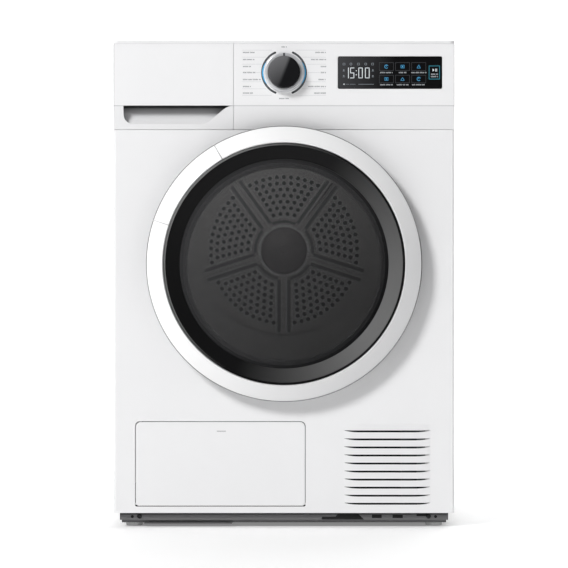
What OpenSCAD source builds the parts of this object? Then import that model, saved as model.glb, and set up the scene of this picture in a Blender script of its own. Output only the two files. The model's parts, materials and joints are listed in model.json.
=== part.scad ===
// Front-loading tumble dryer. Millimetres. +X right, the front faces -Y, +Z up.
// The origin is on the floor, under the middle of the whole machine.

/* [Cabinet] */
// Width across the side panels
cabinet_w = 595; // [590:1:600]
// Height of the worktop above the floor
cabinet_h = 850; // [845:1:855]
// Depth from the front panel to the rear panel
cabinet_d = 580; // [575:1:590]
// Thickness of the sheet steel
sheet_t = 1.2; // [0.8:0.1:1.4]
// Height of the panels' lower edge above the floor
panel_z = 24.8; // [24:0.1:26]
// Depth that the rear duct cover adds
duct_depth = 20; // [16:1:24]

/* [Fascia] */
// Height of the fascia's lower edge
fascia_z = 695; // [693:1:697]
// Height of the crease across the fascia
crease_z = 736; // [734:1:738]
// Height of the joint between the fascia and the worktop
fascia_top_z = 844; // [843:0.5:845]
// How far the fascia's upper face stands in front of the front panel
fascia_proud = 12; // [11:0.5:13]
// X of the seam between the tank drawer and the control panel
seam_x = -88; // [-90:1:-86]
// Wall thickness of the fascia mouldings
fascia_wall = 3; // [2.5:0.1:3.2]

/* [Dial and display] */
// Height of the dial's centre
dial_z = 793.6; // [792:0.1:795]
// Radius of the dial's cap
cap_r = 27.8; // [26:0.1:29]
// Radius of the dial's collar
collar_r = 34; // [33:0.5:36]
// Left edge of the display lens
lens_x = 93.9; // [92:0.1:96]
// Width of the display lens
lens_w = 181.7; // [178:0.1:184]
// Lower edge of the display lens
lens_z = 765.4; // [764:0.1:767]
// Height of the display lens
lens_h = 56.3; // [55:0.1:58]

/* [Door] */
// Height of the door's centre
door_z = 460; // [458:1:462]
// Outer radius of the door ring
ring_r = 240; // [238:1:242]
// Radius of the dark window
window_r = 209.8; // [208:0.1:210]
// Depth of the door in front of the front panel
door_depth = 40; // [38:1:42]
// Radius of the loading throat
throat_r = 172; // [168:1:174]
// X of the hinge axis
hinge_x = 226; // [225:0.5:227]
// Distance of the hinge axis in front of the front panel
hinge_proud = 22; // [21.5:0.5:23]
// Angle where the handle piece of the ring starts
handle_a0 = 120.5; // [118:0.5:124]
// Angle where the handle piece of the ring ends
handle_a1 = 161.5; // [158:0.5:164]

/* [Drum] */
// Height of the drum's axis
drum_z = 490; // [488:1:492]
// Outer radius of the drum
drum_r = 275; // [272:1:276]
// Thickness of the drum sheet
drum_t = 1.5; // [1:0.1:2]
// Inside length of the drum
drum_len = 430; // [426:1:432]
// Radius of the hub cover
hub_r = 44; // [40:1:46]
// Number of spokes in the rear wall
spokes = 5; // [5:1:5]
// Pitch of the perforation
hole_pitch = 13.6; // [13:0.1:15]
// Radius of one perforation
hole_r = 4.2; // [3.5:0.1:4.4]
// Number of lifters
lifters = 3; // [3:1:3]

/* [Flap and louvres] */
// Left edge of the access flap
flap_x = -259.1; // [-260:0.1:-258]
// Width of the access flap
flap_w = 295.7; // [294:0.1:297]
// Lower edge of the access flap
flap_z = 37.2; // [37:0.1:38]
// Height of the access flap
flap_h = 146.8; // [145:0.1:148]
// Corner radius of the access flap
flap_r = 9; // [7:0.5:11]
// Number of louvres
louvres = 10; // [8:1:10]
// Distance between louvres
louvre_pitch = 14.05; // [13.5:0.05:14.3]
// Left end of the louvres
louvre_x = 104.9; // [103:0.1:106]
// Length of the louvres
louvre_w = 151.1; // [148:0.1:153]

/* [Drive and feet] */
// X of the motor's axis
motor_x = 200; // [198:1:201]
// Height of the motor's axis
motor_z = 190; // [189:1:192]
// Radius of the motor pulley
pulley_r = 12.5; // [12:0.5:13]
// Radius of the idler pulley
idler_r = 15; // [14:0.5:16]
// Radius of the drum's support rollers
roller_r = 20; // [19:0.5:21]
// Distance of the feet from the middle
foot_x = 263.5; // [262:0.5:264]
// Radius of a foot
foot_r = 14.5; // [13:0.5:15]

/* [Hidden] */
$fn = 96;

// Main planes
half_w = cabinet_w / 2;
front_y = -(cabinet_d + door_depth + duct_depth) / 2 + door_depth;
rear_y = front_y + cabinet_d;
fascia_y = front_y - fascia_proud;
fascia_low_y = front_y - 1.5;   // the fascia's lower face leans back to here
moulding_y = front_y + 18;      // back edge of every front moulding
side_y = moulding_y + 0.5;
side_top_z = cabinet_h - 22;
inner_front_y = front_y + sheet_t;
inner_rear_y = rear_y - sheet_t;
door_front_y = front_y - door_depth;
run = 0.05;                     // radial clearance of a shaft in its bore
air = 0.3;                      // clearance between moving bodies

// Drum and base layout
drum_y0 = -205;
drum_y1 = drum_y0 + drum_len;
drum_in_r = drum_r - drum_t;
dish_r = drum_in_r - 11.5;      // fixed front wall inside the drum
bulkhead_y = -215;
dish_y = -186;
throat_wall = 3;
throat_y0 = -270;
belt_y0 = -20;
belt_y1 = -8;
belt_t = 2.4;
tray_z = 12;
duct_x0 = -250;
duct_x1 = 60;
duct_top_z = 190;
scroll_r = 72;
hinge_y = front_y - hinge_proud;
ring_back_y = front_y - 4;
hinge_z0 = door_z - 30;
hinge_z1 = door_z + 30;
pin_r = 3;
flap_axis_y = front_y + 4;
flap_axis_z = flap_z + 3.5;
dial_front_y = door_front_y + 6;
foot_y0 = -240;
foot_y1 = 265;
roller_angle = 35;
roller_gap = drum_r + roller_r + air;
roller_x = roller_gap * sin(roller_angle);
roller_z = drum_z - roller_gap * cos(roller_angle);
idler_x = 115;
idler_z = 203;
arm_x = 150;
arm_z = 150;
lever_left_x = -222;
lever_right_x = 0;
lever_z = 111;
spigot_x = -230;
spigot_z = 120;
gland_z = 60;
screw_r = 2;
base_screw_z = 18.5;
corner_r = 4;                   // round vertical edges of the cabinet's front
rear_screws = [for (sx = [-1, 1], z = [60, 250, 440, 630, 800]) [sx * (half_w - 12), z]];

white = [0.93, 0.93, 0.93];
steel = [0.72, 0.73, 0.75];
dark = [0.12, 0.12, 0.13];
grey = [0.45, 0.46, 0.48];
copper = [0.72, 0.45, 0.3];

// Box from its lowest to its highest corner
module box(lo, hi) translate(lo) cube(hi - lo);

// Front-view outline (X, Z) with a depth from y0 to y1
module along_y(y0, y1) translate([0, y1, 0]) rotate([90, 0, 0]) linear_extrude(y1 - y0) children();

// Side-view outline (Y, Z) with a width from x0 to x1
module along_x(x0, x1) translate([x0, 0, 0]) rotate([90, 0, 90]) linear_extrude(x1 - x0) children();

// Round bar along Y at (x, z)
module rod_y(x, z, r, y0, y1) along_y(y0, y1) translate([x, z]) circle(r);

// Profile (radius, Y) turned about an axis along Y at (x, z)
module turned(x, z) translate([x, 0, z]) rotate([-90, 0, 0]) rotate_extrude() children();

// Ring about an axis along Y
module ring_y(x, z, r0, r1, y0, y1)
    along_y(y0, y1) translate([x, z]) difference() {
        circle(r1);
        circle(r0);
    }

// Rectangle with round corners
module round_rect(x0, z0, x1, z1, r) {
    translate([x0 + r, z0]) square([x1 - x0 - 2 * r, z1 - z0]);
    translate([x0, z0 + r]) square([x1 - x0, z1 - z0 - 2 * r]);
    for (x = [x0 + r, x1 - r], z = [z0 + r, z1 - r]) translate([x, z]) circle(r);
}

// Pie slice from angle a0 to a1, under a half turn
module slice(a0, a1, r) polygon([[0, 0], r * [cos(a0), sin(a0)],
    r / cos((a1 - a0) / 2) * [cos((a0 + a1) / 2), sin((a0 + a1) / 2)], r * [cos(a1), sin(a1)]]);

// ---- Cabinet ----

module foot_places() for (x = [-foot_x, foot_x], y = [foot_y0, foot_y1]) translate([x, y, 0]) children();

module base_tray() color(grey) {
    wall = 4;
    rim_z = 40;
    plate_z = 7;
    sump_z = 4.5;
    y0 = front_y + 10;
    y1 = rear_y - 6;
    x1 = half_w - 10;
    boss_r = 12;
    difference() {
        union() {
            difference() {
                box([-x1, y0, tray_z], [x1, y1, rim_z]);
                box([-x1 + wall, y0 + wall, tray_z + wall], [x1 - wall, y1 - wall, rim_z + 1]);
            }
            difference() {
                box([-x1 + 3, y0 + 8, plate_z], [x1 - 3, y1 - 3, tray_z]);
                foot_places() translate([0, 0, plate_z - 1]) cylinder(r = foot_r + 4, h = tray_z - plate_z + 1);
            }
            box([-245, y0 + 2, sump_z], [-91, 200, plate_z]);
            foot_places() translate([0, 0, tray_z]) cylinder(r = boss_r, h = rim_z - tray_z);
        }
        foot_places() translate([0, 0, plate_z - 1]) cylinder(r = 5 + run, h = rim_z);
        for (x = [-253, 253]) rod_y(x, base_screw_z, screw_r + 0.2, y0 - 1, y0 + wall + 1);
    }
}

module side_panel() difference() {
    union() {
        box([-half_w, side_y, panel_z], [-half_w + sheet_t, inner_rear_y, side_top_z]);
        box([-half_w, side_y, panel_z + 18], [-half_w + 22, side_y + sheet_t, fascia_z - 10]);
        box([-half_w, inner_rear_y - sheet_t, panel_z], [-half_w + 22, inner_rear_y, side_top_z]);
        box([-half_w, side_y, panel_z], [-half_w + 8, inner_rear_y, panel_z + sheet_t]);
    }
    for (p = rear_screws) if (p[0] < 0) rod_y(p[0], p[1], screw_r + 0.2, inner_rear_y - 3, inner_rear_y + 1);
}
module left_side_panel() color(white) side_panel();
module right_side_panel() color(white) mirror([1, 0, 0]) side_panel();

module rear_panel() color(steel) {
    slot_count = 8;
    difference() {
        union() {
            along_y(inner_rear_y, rear_y) translate([-half_w, panel_z]) square([cabinet_w, side_top_z - panel_z]);
            ring_y(0, drum_z, 196, 199, drum_y1 + 17, inner_rear_y);
        }
        difference() {
            ring_y(0, drum_z, 62, 182, inner_rear_y - 1, rear_y + 1);
            for (a = [0, 90]) translate([0, rear_y, drum_z]) rotate([0, a, 0]) cube([14 * 2, 10, 400], center = true);
        }
        rod_y(0, drum_z, 14, inner_rear_y - 1, rear_y + 1);
        rod_y(motor_x, motor_z, 57, inner_rear_y - 1, rear_y + 1);
        rod_y(spigot_x, spigot_z, 8.5, inner_rear_y - 1, rear_y + 1);
        rod_y(spigot_x, gland_z, 10, inner_rear_y - 1, rear_y + 1);
        for (p = rear_screws) rod_y(p[0], p[1], screw_r + 0.2, inner_rear_y - 1, rear_y + 1);
        for (i = [0:slot_count - 1]) along_y(inner_rear_y - 1, rear_y + 1)
            translate([-150 + i * 24, 60]) round_rect(0, 0, 10, 70, 4.9);
    }
}

module duct_outline(grow) hull() {
    translate([0, drum_z]) circle(205 + grow);
    translate([motor_x, motor_z]) circle(66 + grow);
}
module rear_duct_cover() color(steel) {
    flange = 9;
    union() {
        along_y(rear_y, rear_y + sheet_t) difference() {
            duct_outline(flange);
            duct_outline(-1);
        }
        along_y(rear_y + sheet_t, rear_y + duct_depth) difference() {
            duct_outline(0);
            duct_outline(-sheet_t);
        }
        along_y(rear_y + duct_depth - sheet_t, rear_y + duct_depth) duct_outline(0);
    }
}

module worktop() color(white) {
    lip_z = fascia_top_z + 0.5;
    y0 = fascia_y + 2;
    difference() {
        translate([0, 0, side_top_z]) linear_extrude(cabinet_h - side_top_z)
            round_rect(-half_w, y0, half_w, rear_y, 8);
        box([-half_w + 2, side_y - 1, side_top_z - 1], [half_w - 2, rear_y - 2, cabinet_h - 3]);
        box([-half_w - 1, y0 - 1, side_top_z - 1], [half_w + 1, side_y - 0.5, lip_z]);
    }
}

// One louvre hood: it leans out from the panel to its lower edge at z
module hood(z) {
    reach = 3;
    slit = 3.5;
    along_x(louvre_x, louvre_x + louvre_w) polygon([
        [front_y + 0.6, z + louvre_pitch - slit], [front_y, z + louvre_pitch - slit],
        [front_y - reach, z], [front_y - reach + 1.2, z], [front_y + 0.6, z + louvre_pitch - slit - 2]]);
}
function louvre_z(i) = 42.8 + i * louvre_pitch;

module front_panel() color(white) {
    hole_r = 196;
    gap = 1.1;
    slit = 3.5;
    z1 = fascia_z - 0.3;
    ear_x0 = flap_x - gap - 1.2;
    ear_x1 = flap_x + flap_w + gap + 1.2;
    difference() {
        union() {
            difference() {
                translate([0, 0, panel_z]) linear_extrude(z1 - panel_z) difference() {
                    round_rect(-half_w, front_y, half_w, moulding_y + 10, corner_r);
                    round_rect(-half_w + sheet_t, inner_front_y, half_w - sheet_t, moulding_y + 11,
                        corner_r - sheet_t);
                }
                box([-half_w - 1, moulding_y, 0], [half_w + 1, moulding_y + 12, cabinet_h]);
                along_y(front_y - 1, inner_front_y + 1) {
                    translate([0, door_z]) circle(hole_r);
                    flap_outline(gap, 3);
                    for (i = [0:louvres - 1]) translate([louvre_x, louvre_z(i) - slit]) square([louvre_w, slit]);
                    translate([-231, door_z - 12]) square([18, 24]);
                }
            }
            ring_y(0, door_z, hole_r, hole_r + 1.5, front_y, front_y + 8);
            for (z = [panel_z, z1 - sheet_t])
                box([-half_w + 4, inner_front_y - 0.2, z], [half_w - 4, front_y + 7, z + sheet_t]);
            for (i = [0:louvres - 1]) hood(louvre_z(i));
            for (x = [[ear_x0 - 6, ear_x0], [ear_x1, ear_x1 + 6]])
                box([x[0], front_y + 0.5, flap_axis_z - 6], [x[1], flap_axis_y + 6, flap_axis_z + 6]);
        }
        translate([ear_x0 - 7, flap_axis_y, flap_axis_z]) rotate([0, 90, 0])
            cylinder(r = 2 + run, h = ear_x1 - ear_x0 + 14);
    }
}

// ---- Fascia ----

// Side-view outline of the fascia, shrunk by w on every side but the back
module fascia_side(w) polygon([[moulding_y + (w > 0 ? 1 : 0), fascia_z + w], [fascia_low_y + w, fascia_z + w],
    [fascia_y + w, crease_z + w / 5], [fascia_y + w, fascia_top_z - w], [moulding_y + (w > 0 ? 1 : 0), fascia_top_z - w]]);

module control_panel() color(white) {
    x0 = seam_x + 0.4;
    ledge = 8;
    difference() {
        along_x(x0, half_w) fascia_side(0);
        along_x(x0 + fascia_wall, half_w - fascia_wall) fascia_side(fascia_wall);
        along_y(fascia_y - 1, fascia_y + 2) round_rect(lens_x - 0.2, lens_z - 0.2,
            lens_x + lens_w + 0.2, lens_z + lens_h + 0.2, 2.6);
        box([lens_x + ledge, fascia_y, lens_z + ledge],
            [lens_x + lens_w - ledge, fascia_y + fascia_wall + 1, lens_z + lens_h - ledge]);
        rod_y(0, dial_z, 9, fascia_y - 1, fascia_y + fascia_wall + 1);
    }
}

module display_window() color("black") along_y(fascia_y - 0.4, fascia_y + 1.9)
    round_rect(lens_x, lens_z, lens_x + lens_w, lens_z + lens_h, 2.6);

module control_board() color("darkgreen") {
    board_y = fascia_y + 18;
    difference() {
        union() {
            box([-80, board_y, 748], [288, board_y + 1.6, 836]);
            box([-13, board_y - 12, dial_z - 13], [13, board_y, dial_z + 13]);
            box([lens_x + 10, fascia_y + fascia_wall + 1, lens_z + 10],
                [lens_x + lens_w - 10, board_y, lens_z + lens_h - 10]);
            for (x = [-72, 40, 285], z = [756, 830]) rod_y(x, z, 3, fascia_y + fascia_wall, board_y);
        }
        rod_y(0, dial_z, 4 + run, board_y - 13, board_y + 2);
    }
}

module dial_cap() color("black") turned(0, dial_z) polygon([[0, dial_front_y], [cap_r - 4, dial_front_y + 0.4],
    [cap_r - 1, dial_front_y + 1.6], [cap_r, dial_front_y + 4], [cap_r, fascia_y - 8], [4, fascia_y - 8],
    [4, fascia_y + 17], [0, fascia_y + 17]]);

module dial_collar() color("silver") turned(0, dial_z) polygon([[4.1, fascia_y - 7.9], [cap_r + 0.2, fascia_y - 7.9],
    [cap_r + 0.2, fascia_y - 10.5], [cap_r + 1.5, fascia_y - 11.5], [collar_r - 1.5, fascia_y - 9.5],
    [collar_r, fascia_y - 7.5], [collar_r, fascia_y - 0.6], [4.1, fascia_y - 0.6]]);

// ---- Condensate tank ----

// Front view of the handle recess: straight left side, flat bottom and an S-shaped right end
function s_curve(s) = s * s * (3 - 2 * s);
module recess_outline() {
    x0 = -280;
    z0 = 704.6;
    x_flat = -144;
    x_end = seam_x - 1.5;
    r = 16;
    rise = crease_z - z0;
    steps = 14;
    polygon(concat(
        [for (a = [180:15:270]) [x0 + r + r * cos(a), z0 + r + r * sin(a)]],
        [for (i = [0:steps]) [x_flat + (x_end - x_flat) * i / steps, z0 + rise * s_curve(i / steps)]],
        [[x0, crease_z]]));
}

module tank_front() color(white) {
    recess_back_y = moulding_y - 5;
    difference() {
        along_x(-half_w, seam_x - 0.4) fascia_side(0);
        along_x(-half_w + fascia_wall, seam_x - 0.4 - fascia_wall) polygon([
            [moulding_y - 3, crease_z + 3], [fascia_y + 3, crease_z + 3],
            [fascia_y + 3, fascia_top_z - 3], [moulding_y - 3, fascia_top_z - 3]]);
        intersection() {
            along_y(fascia_y - 1, moulding_y) recess_outline();
            along_x(-half_w, 0) polygon([[fascia_y - 1, fascia_z], [fascia_low_y + 1, fascia_z],
                [recess_back_y, crease_z + 1], [fascia_y - 1, crease_z + 1]]);
        }
    }
}

module tank_body() color([0.85, 0.88, 0.9]) {
    wall = 2;
    y1 = moulding_y + 400;
    difference() {
        translate([0, 0, 762]) linear_extrude(64) round_rect(-284, moulding_y, -104, y1, 12);
        translate([0, 0, 762 + wall]) linear_extrude(64)
            round_rect(-284 + wall, moulding_y + wall, -104 - wall, y1 - wall, 10);
    }
}

module tank_lid() color([0.8, 0.83, 0.86]) difference() {
    union() {
        translate([0, 0, 826.1]) linear_extrude(2.2) round_rect(-284, moulding_y, -104, moulding_y + 400, 12);
        translate([-250, moulding_y + 40, 828.3]) cylinder(r = 15, h = 4);
    }
    translate([-194, moulding_y + 360, 820]) cylinder(r = 10, h = 20);
    translate([-250, moulding_y + 40, 820]) cylinder(r = 11, h = 20);
}

module tank_housing() color(grey) difference() {
    box([-292, moulding_y + 6, 757], [-96, 150, 826]);
    box([-288, moulding_y + 5, 760.5], [-100, 146, 827]);
}

// ---- Drum support ----

module front_bulkhead() color([0.6, 0.61, 0.63]) {
    pocket_w = 116;
    pocket_y0 = bulkhead_y - 38;
    pocket_top = door_z - 110;
    wall = 2.5;
    difference() {
        union() {
            ring_y(0, door_z, throat_r, 195, throat_y0, throat_y0 + 4);
            ring_y(0, door_z, throat_r, throat_r + throat_wall, throat_y0, dish_y + 3);
            along_y(bulkhead_y, bulkhead_y + 3) difference() {
                translate([-285, duct_top_z + 2]) square([570, 512]);
                translate([0, drum_z]) circle(dish_r);
            }
            ring_y(0, drum_z, dish_r, dish_r + 4, bulkhead_y, dish_y + 3);
            along_y(dish_y, dish_y + 3) difference() {
                translate([0, drum_z]) circle(dish_r + 1);
                translate([0, door_z]) circle(throat_r + 1);
            }
            difference() {
                box([-pocket_w, pocket_y0, duct_top_z + 2], [pocket_w, bulkhead_y + 1, pocket_top]);
                along_y(pocket_y0 - 1, bulkhead_y + 2) translate([0, door_z]) circle(throat_r + 1);
            }
            for (s = [-1, 1]) rod_y(s * roller_x, roller_z, 5, bulkhead_y + 1, dish_y + 4);
        }
        box([-pocket_w + wall, pocket_y0 + wall, duct_top_z], [pocket_w - wall, bulkhead_y - 1.5, pocket_top + 1]);
    }
}

module lint_filter() color([0.35, 0.5, 0.6]) {
    difference() {
        box([-110, bulkhead_y - 33, 200], [110, bulkhead_y - 5, 345]);
        along_y(bulkhead_y - 60, bulkhead_y + 1) translate([0, door_z]) circle(throat_r + 1.5);
        box([-106, bulkhead_y - 29, 199], [106, bulkhead_y - 9, 262]);
        for (x = [-100:8:96]) box([x, bulkhead_y - 34, 206], [x + 5, bulkhead_y - 4, 262]);
    }
}

module drum_felts() color([0.8, 0.78, 0.72]) {
    ring_y(0, drum_z, dish_r + 4.1, drum_in_r - 0.4, -203, dish_y);
    ring_y(0, drum_z, 199.1, 210, drum_y1 + 4, drum_y1 + 30);
}

module shaft_bearing() color(steel) {
    ring_y(0, drum_z, 12.5 + run, 30, inner_rear_y - 36, inner_rear_y - 8);
    ring_y(0, drum_z, 14, 44, inner_rear_y - 8, inner_rear_y - 0.1);
}

module roller(x) color(dark) difference() {
    rod_y(x, roller_z, roller_r, -203, -187);
    rod_y(x, roller_z, 5 + run, -204, -186);
}
module roller_left() roller(-roller_x);
module roller_right() roller(roller_x);

// ---- Drum ----

module drum_shell() color(steel) {
    ring_y(0, drum_z, drum_in_r, drum_r, drum_y0, drum_y1);
    for (y = [-120, 100]) ring_y(0, drum_z, drum_r - 0.1, drum_r + 2, y, y + 8);
}

// Perforation of one sector, centred on +X: holes in arcs round the hub, offset by half a pitch in turn
module sector_holes(r0, r1, edge) {
    row = hole_pitch * sin(60);
    for (j = [0:floor((r1 - r0) / row)]) let(r = r0 + j * row, step = 2 * asin(hole_pitch / 2 / r),
        half = 180 / spokes - asin(edge / r), n = floor(2 * half / step + (j % 2)) + 1 - (j % 2))
        for (i = [0:n - 1]) rotate((i - (n - 1) / 2) * step) translate([r, 0]) circle(hole_r, $fn = 24);
}

// Ridge on the rear wall that runs out from the hub, at the angle a and shifted sideways by s
module ridge(a, s, r0, r1, w, h) translate([0, 0, drum_z]) rotate([0, -a, 0])
    box([r0, drum_y1 - h, s - w / 2], [r1, drum_y1, s + w / 2]);

module drum_rear_wall() color([0.4, 0.41, 0.43]) {
    groove = 13.5;
    r0 = 70;
    r1 = 151;
    frame_r = 58;
    along_y(drum_y1, drum_y1 + drum_t) difference() {
        translate([0, drum_z]) circle(drum_in_r - 0.1);
        translate([0, drum_z]) for (k = [0:spokes - 1]) rotate(90 + k * 360 / spokes) sector_holes(r0, r1, 20);
    }
    ring_y(0, drum_z, drum_in_r - 3, drum_in_r - 0.1, drum_y1 - 8, drum_y1);
    ring_y(0, drum_z, r1 + 8, r1 + 11, drum_y1 - 3, drum_y1);
    difference() {
        ring_y(0, drum_z, frame_r, frame_r + 2.4, drum_y1 - 2.4, drum_y1);
        for (k = [0:spokes - 1]) ridge(54 + k * 360 / spokes, 0, 50, 70, 2 * groove, 4);
    }
    for (k = [0:spokes - 1], s = [-1, 1]) {
        ridge(54 + k * 360 / spokes, s * 3.2, 46, r1 + 9, 1.8, 3);
        ridge(54 + k * 360 / spokes, s * groove, frame_r - 1, r1 + 9, 2.2, 2.4);
    }
}

module hub_cover() color([0.3, 0.31, 0.33]) turned(0, drum_z) polygon(concat([[0, drum_y1 - 14]],
    [for (a = [10:10:80]) [hub_r * sin(a), drum_y1 - 4 - 10 * cos(a)]], [[hub_r, drum_y1 - 3], [hub_r, drum_y1 - 0.1],
    [0, drum_y1 - 0.1]]));

module drum_shaft() color(steel) {
    rod_y(0, drum_z, 40, drum_y1 + drum_t + 0.1, drum_y1 + 6);
    rod_y(0, drum_z, 12.5, drum_y1 + 6, inner_rear_y - 3);
}

// Cross-section of one lifter on the drum's +X side, with its walls moved in by w
module lifter_section(w) {
    foot = 38 - w;
    tip = 15 - w / 2;
    top = drum_in_r - 45 + w;
    polygon([[top, -tip], [top + 8, -tip - 5], [drum_in_r, -foot], [drum_in_r + 5, -foot],
        [drum_in_r + 5, foot], [drum_in_r, foot], [top + 8, tip + 5], [top, tip]]);
}
module drum_lifters() color(grey) {
    y0 = dish_y + 10;
    y1 = drum_y1 - 10;
    wall = 2.5;
    for (k = [0:lifters - 1]) difference() {
        along_y(y0, y1) translate([0, drum_z]) rotate(90 + k * 360 / lifters) intersection() {
            circle(drum_in_r - 0.1);
            lifter_section(0);
        }
        along_y(y0 + wall, y1 - wall) translate([0, drum_z]) rotate(90 + k * 360 / lifters) lifter_section(wall);
    }
}

// ---- Drive ----

module belt_path(grow) hull() {
    translate([0, drum_z]) circle(drum_r + grow, $fn = 240);
    translate([motor_x, motor_z]) circle(pulley_r + grow, $fn = 48);
    translate([idler_x, idler_z]) circle(idler_r + grow, $fn = 48);
}
module drum_belt() color(dark) along_y(belt_y0, belt_y1) difference() {
    belt_path(air + 0.1 + belt_t);
    belt_path(air + 0.1);
}

module motor_shaft() color(steel) {
    rod_y(motor_x, motor_z, 8, belt_y0 - 6, 197);
    rod_y(motor_x, motor_z, pulley_r, belt_y0 - 2, belt_y1 + 2);
    ring_y(motor_x, motor_z, 7.9, pulley_r + 5, belt_y0 - 4, belt_y0 - 2);
    ring_y(motor_x, motor_z, 7.9, pulley_r + 5, belt_y1 + 2, belt_y1 + 4);
}

module fan_wheel() color([0.3, 0.35, 0.4]) {
    blades = 20;
    blade_r = 58;
    ring_y(motor_x, motor_z, 8.05, 14, 160, 193);
    ring_y(motor_x, motor_z, 13.9, blade_r, 190, 193);
    ring_y(motor_x, motor_z, 46, blade_r, 153, 156);
    for (k = [0:blades - 1]) translate([motor_x, 0, motor_z]) rotate([0, k * 360 / blades, 0])
        box([46, 155, -0.9], [blade_r - 0.5, 191, 0.9]);
}

module drive_motor() color(grey) {
    bracket_y0 = 4;
    difference() {
        union() {
            rod_y(motor_x, motor_z, 42, 12, 122);
            rod_y(motor_x, motor_z, 20, bracket_y0, 12.1);
            rod_y(motor_x, motor_z, 20, 121.9, 130);
            box([140, bracket_y0, tray_z + 4.2], [245, bracket_y0 + 6, motor_z]);
            box([150, bracket_y0, tray_z + 4.2], [250, 120, tray_z + 12]);
            box([165, 60, tray_z + 11], [235, 66, motor_z - 30]);
            rod_y(arm_x, arm_z, 5, belt_y0 - 17, bracket_y0 + 1);
        }
        rod_y(motor_x, motor_z, 8 + run, bracket_y0 - 1, 131);
    }
}

module idler_arm() color(steel) difference() {
    union() {
        along_y(belt_y0 - 14, belt_y0 - 6) difference() {
            hull() {
                translate([arm_x, arm_z]) circle(9);
                translate([idler_x, idler_z]) circle(8);
            }
            translate([arm_x, arm_z]) circle(5 + run);
        }
        rod_y(idler_x, idler_z, 4, belt_y0 - 7, belt_y1 + 3);
    }
}

module idler_pulley() color(dark) ring_y(idler_x, idler_z, 4 + run, idler_r, belt_y0 - 2, belt_y1 + 2);

// ---- Heat pump and base ----

module heat_pump_duct() color([0.55, 0.56, 0.58]) {
    wall = 3;
    z0 = tray_z + 4.2;
    cross_top = 185;
    fan_y0 = 140;
    end_y = 215;
    difference() {
        union() {
            box([duct_x0, front_y + 28, z0], [duct_x1, end_y, duct_top_z]);
            box([duct_x1 - 5, fan_y0, z0], [motor_x, end_y, cross_top]);
            rod_y(motor_x, motor_z, scroll_r, fan_y0, end_y);
            rod_y(motor_x, motor_z, 55, end_y - 1, inner_rear_y + 1);
        }
        box([duct_x0 + wall, front_y + 20, z0 + wall], [duct_x1 - wall, end_y - wall, duct_top_z - wall]);
        box([duct_x1 - 10, fan_y0 + wall, z0 + wall], [motor_x, end_y - wall, cross_top - wall]);
        rod_y(motor_x, motor_z, scroll_r - wall, fan_y0 + wall, end_y - wall);
        rod_y(motor_x, motor_z, 52, end_y - wall - 1, inner_rear_y + 2);
        rod_y(motor_x, motor_z, 12, fan_y0 - 1, fan_y0 + wall + 1);
        box([-113, bulkhead_y - 35, duct_top_z - wall - 1], [duct_x1 - wall - 2, bulkhead_y - 3, duct_top_z + 1]);
    }
}

// Fin block with cross tubes
module coil_block(y0, y1) {
    x0 = duct_x0 + 8;
    x1 = duct_x1 - 8;
    fins = 24;
    pitch = (x1 - x0 - 2) / (fins - 1);
    for (i = [0:fins - 1]) box([x0 + i * pitch, y0, 34], [x0 + i * pitch + 1.4, y1, 172]);
    for (y = [y0 + 22, y1 - 22], z = [60, 103, 146]) translate([x0 - 2, y, z]) rotate([0, 90, 0])
        cylinder(r = 5, h = x1 - x0 + 4);
    box([x0, y0, 26], [x1, y1, 34.1]);
}
module evaporator() color("lightsteelblue") coil_block(-222, -124);
module condenser() color(copper) coil_block(-92, 38);

module compressor() color(dark) {
    cx = 155;
    cy = -150;
    r = 56;
    translate([cx, cy, 0]) rotate_extrude() polygon(concat([[0, 28], [r - 8, 28], [r, 36], [r, 158]],
        [for (a = [10:10:80]) [r * cos(a), 158 + 26 * sin(a)]], [[0, 184]]));
    for (a = [90, 210, 330]) translate([cx, cy, 0]) rotate(a) difference() {
        box([30, -14, tray_z + 12], [r + 16, 14, 28.1]);
        translate([r + 8, 0, 0]) cylinder(r = 4, h = 40);
    }
    for (a = [90, 210, 330]) translate([cx, cy, 0]) rotate(a) translate([r - 10, 0, tray_z + 4.2])
        cylinder(r = 9, h = 8);
}

// Round tube through a list of points, with ball elbows
module tube(points, r) {
    for (i = [0:len(points) - 2]) let(d = points[i + 1] - points[i], l = norm(d))
        translate(points[i]) rotate([0, acos(d[2] / l), atan2(d[1], d[0])]) cylinder(r = r, h = l);
    for (i = [1:len(points) - 2]) translate(points[i]) sphere(r = r);
}
module refrigerant_pipes() color(copper) {
    tube([[155, -150, 184.3], [155, -150, 200], [90, -150, 200], [90, -150, 130], [duct_x1 + 0.3, -150, 130]], 4);
    tube([[155, -93.5, 60], [155, -60, 60], [duct_x1 + 0.3, -60, 60]], 4);
}

module condensate_pump() color(grey) {
    box([-200, 228, tray_z + 4.2], [-140, 284, 52]);
    translate([-170, 256, 51]) cylinder(r = 20, h = 30);
    translate([-150, 270, 51]) cylinder(r = 6, h = 20);
}

module drain_spigot() color(grey) difference() {
    union() {
        rod_y(spigot_x, spigot_z, 16, rear_y + 0.1, rear_y + 3);
        rod_y(spigot_x, spigot_z, 9, rear_y + 2, rear_y + 18);
        rod_y(spigot_x, spigot_z, 8.3, inner_rear_y - 18, rear_y + 1);
    }
    rod_y(spigot_x, spigot_z, 6.5, inner_rear_y - 19, rear_y + 19);
}

module mains_inlet() color(dark) difference() {
    union() {
        rod_y(spigot_x, gland_z, 15, rear_y + 0.1, rear_y + 3);
        rod_y(spigot_x, gland_z, 11, rear_y + 2, rear_y + 13);
        rod_y(spigot_x, gland_z, 9.8, inner_rear_y - 14, rear_y + 1);
        rod_y(spigot_x, gland_z, 14, inner_rear_y - 6, inner_rear_y - 0.1);
    }
    rod_y(spigot_x, gland_z, 4, inner_rear_y - 15, rear_y + 14);
}

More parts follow.
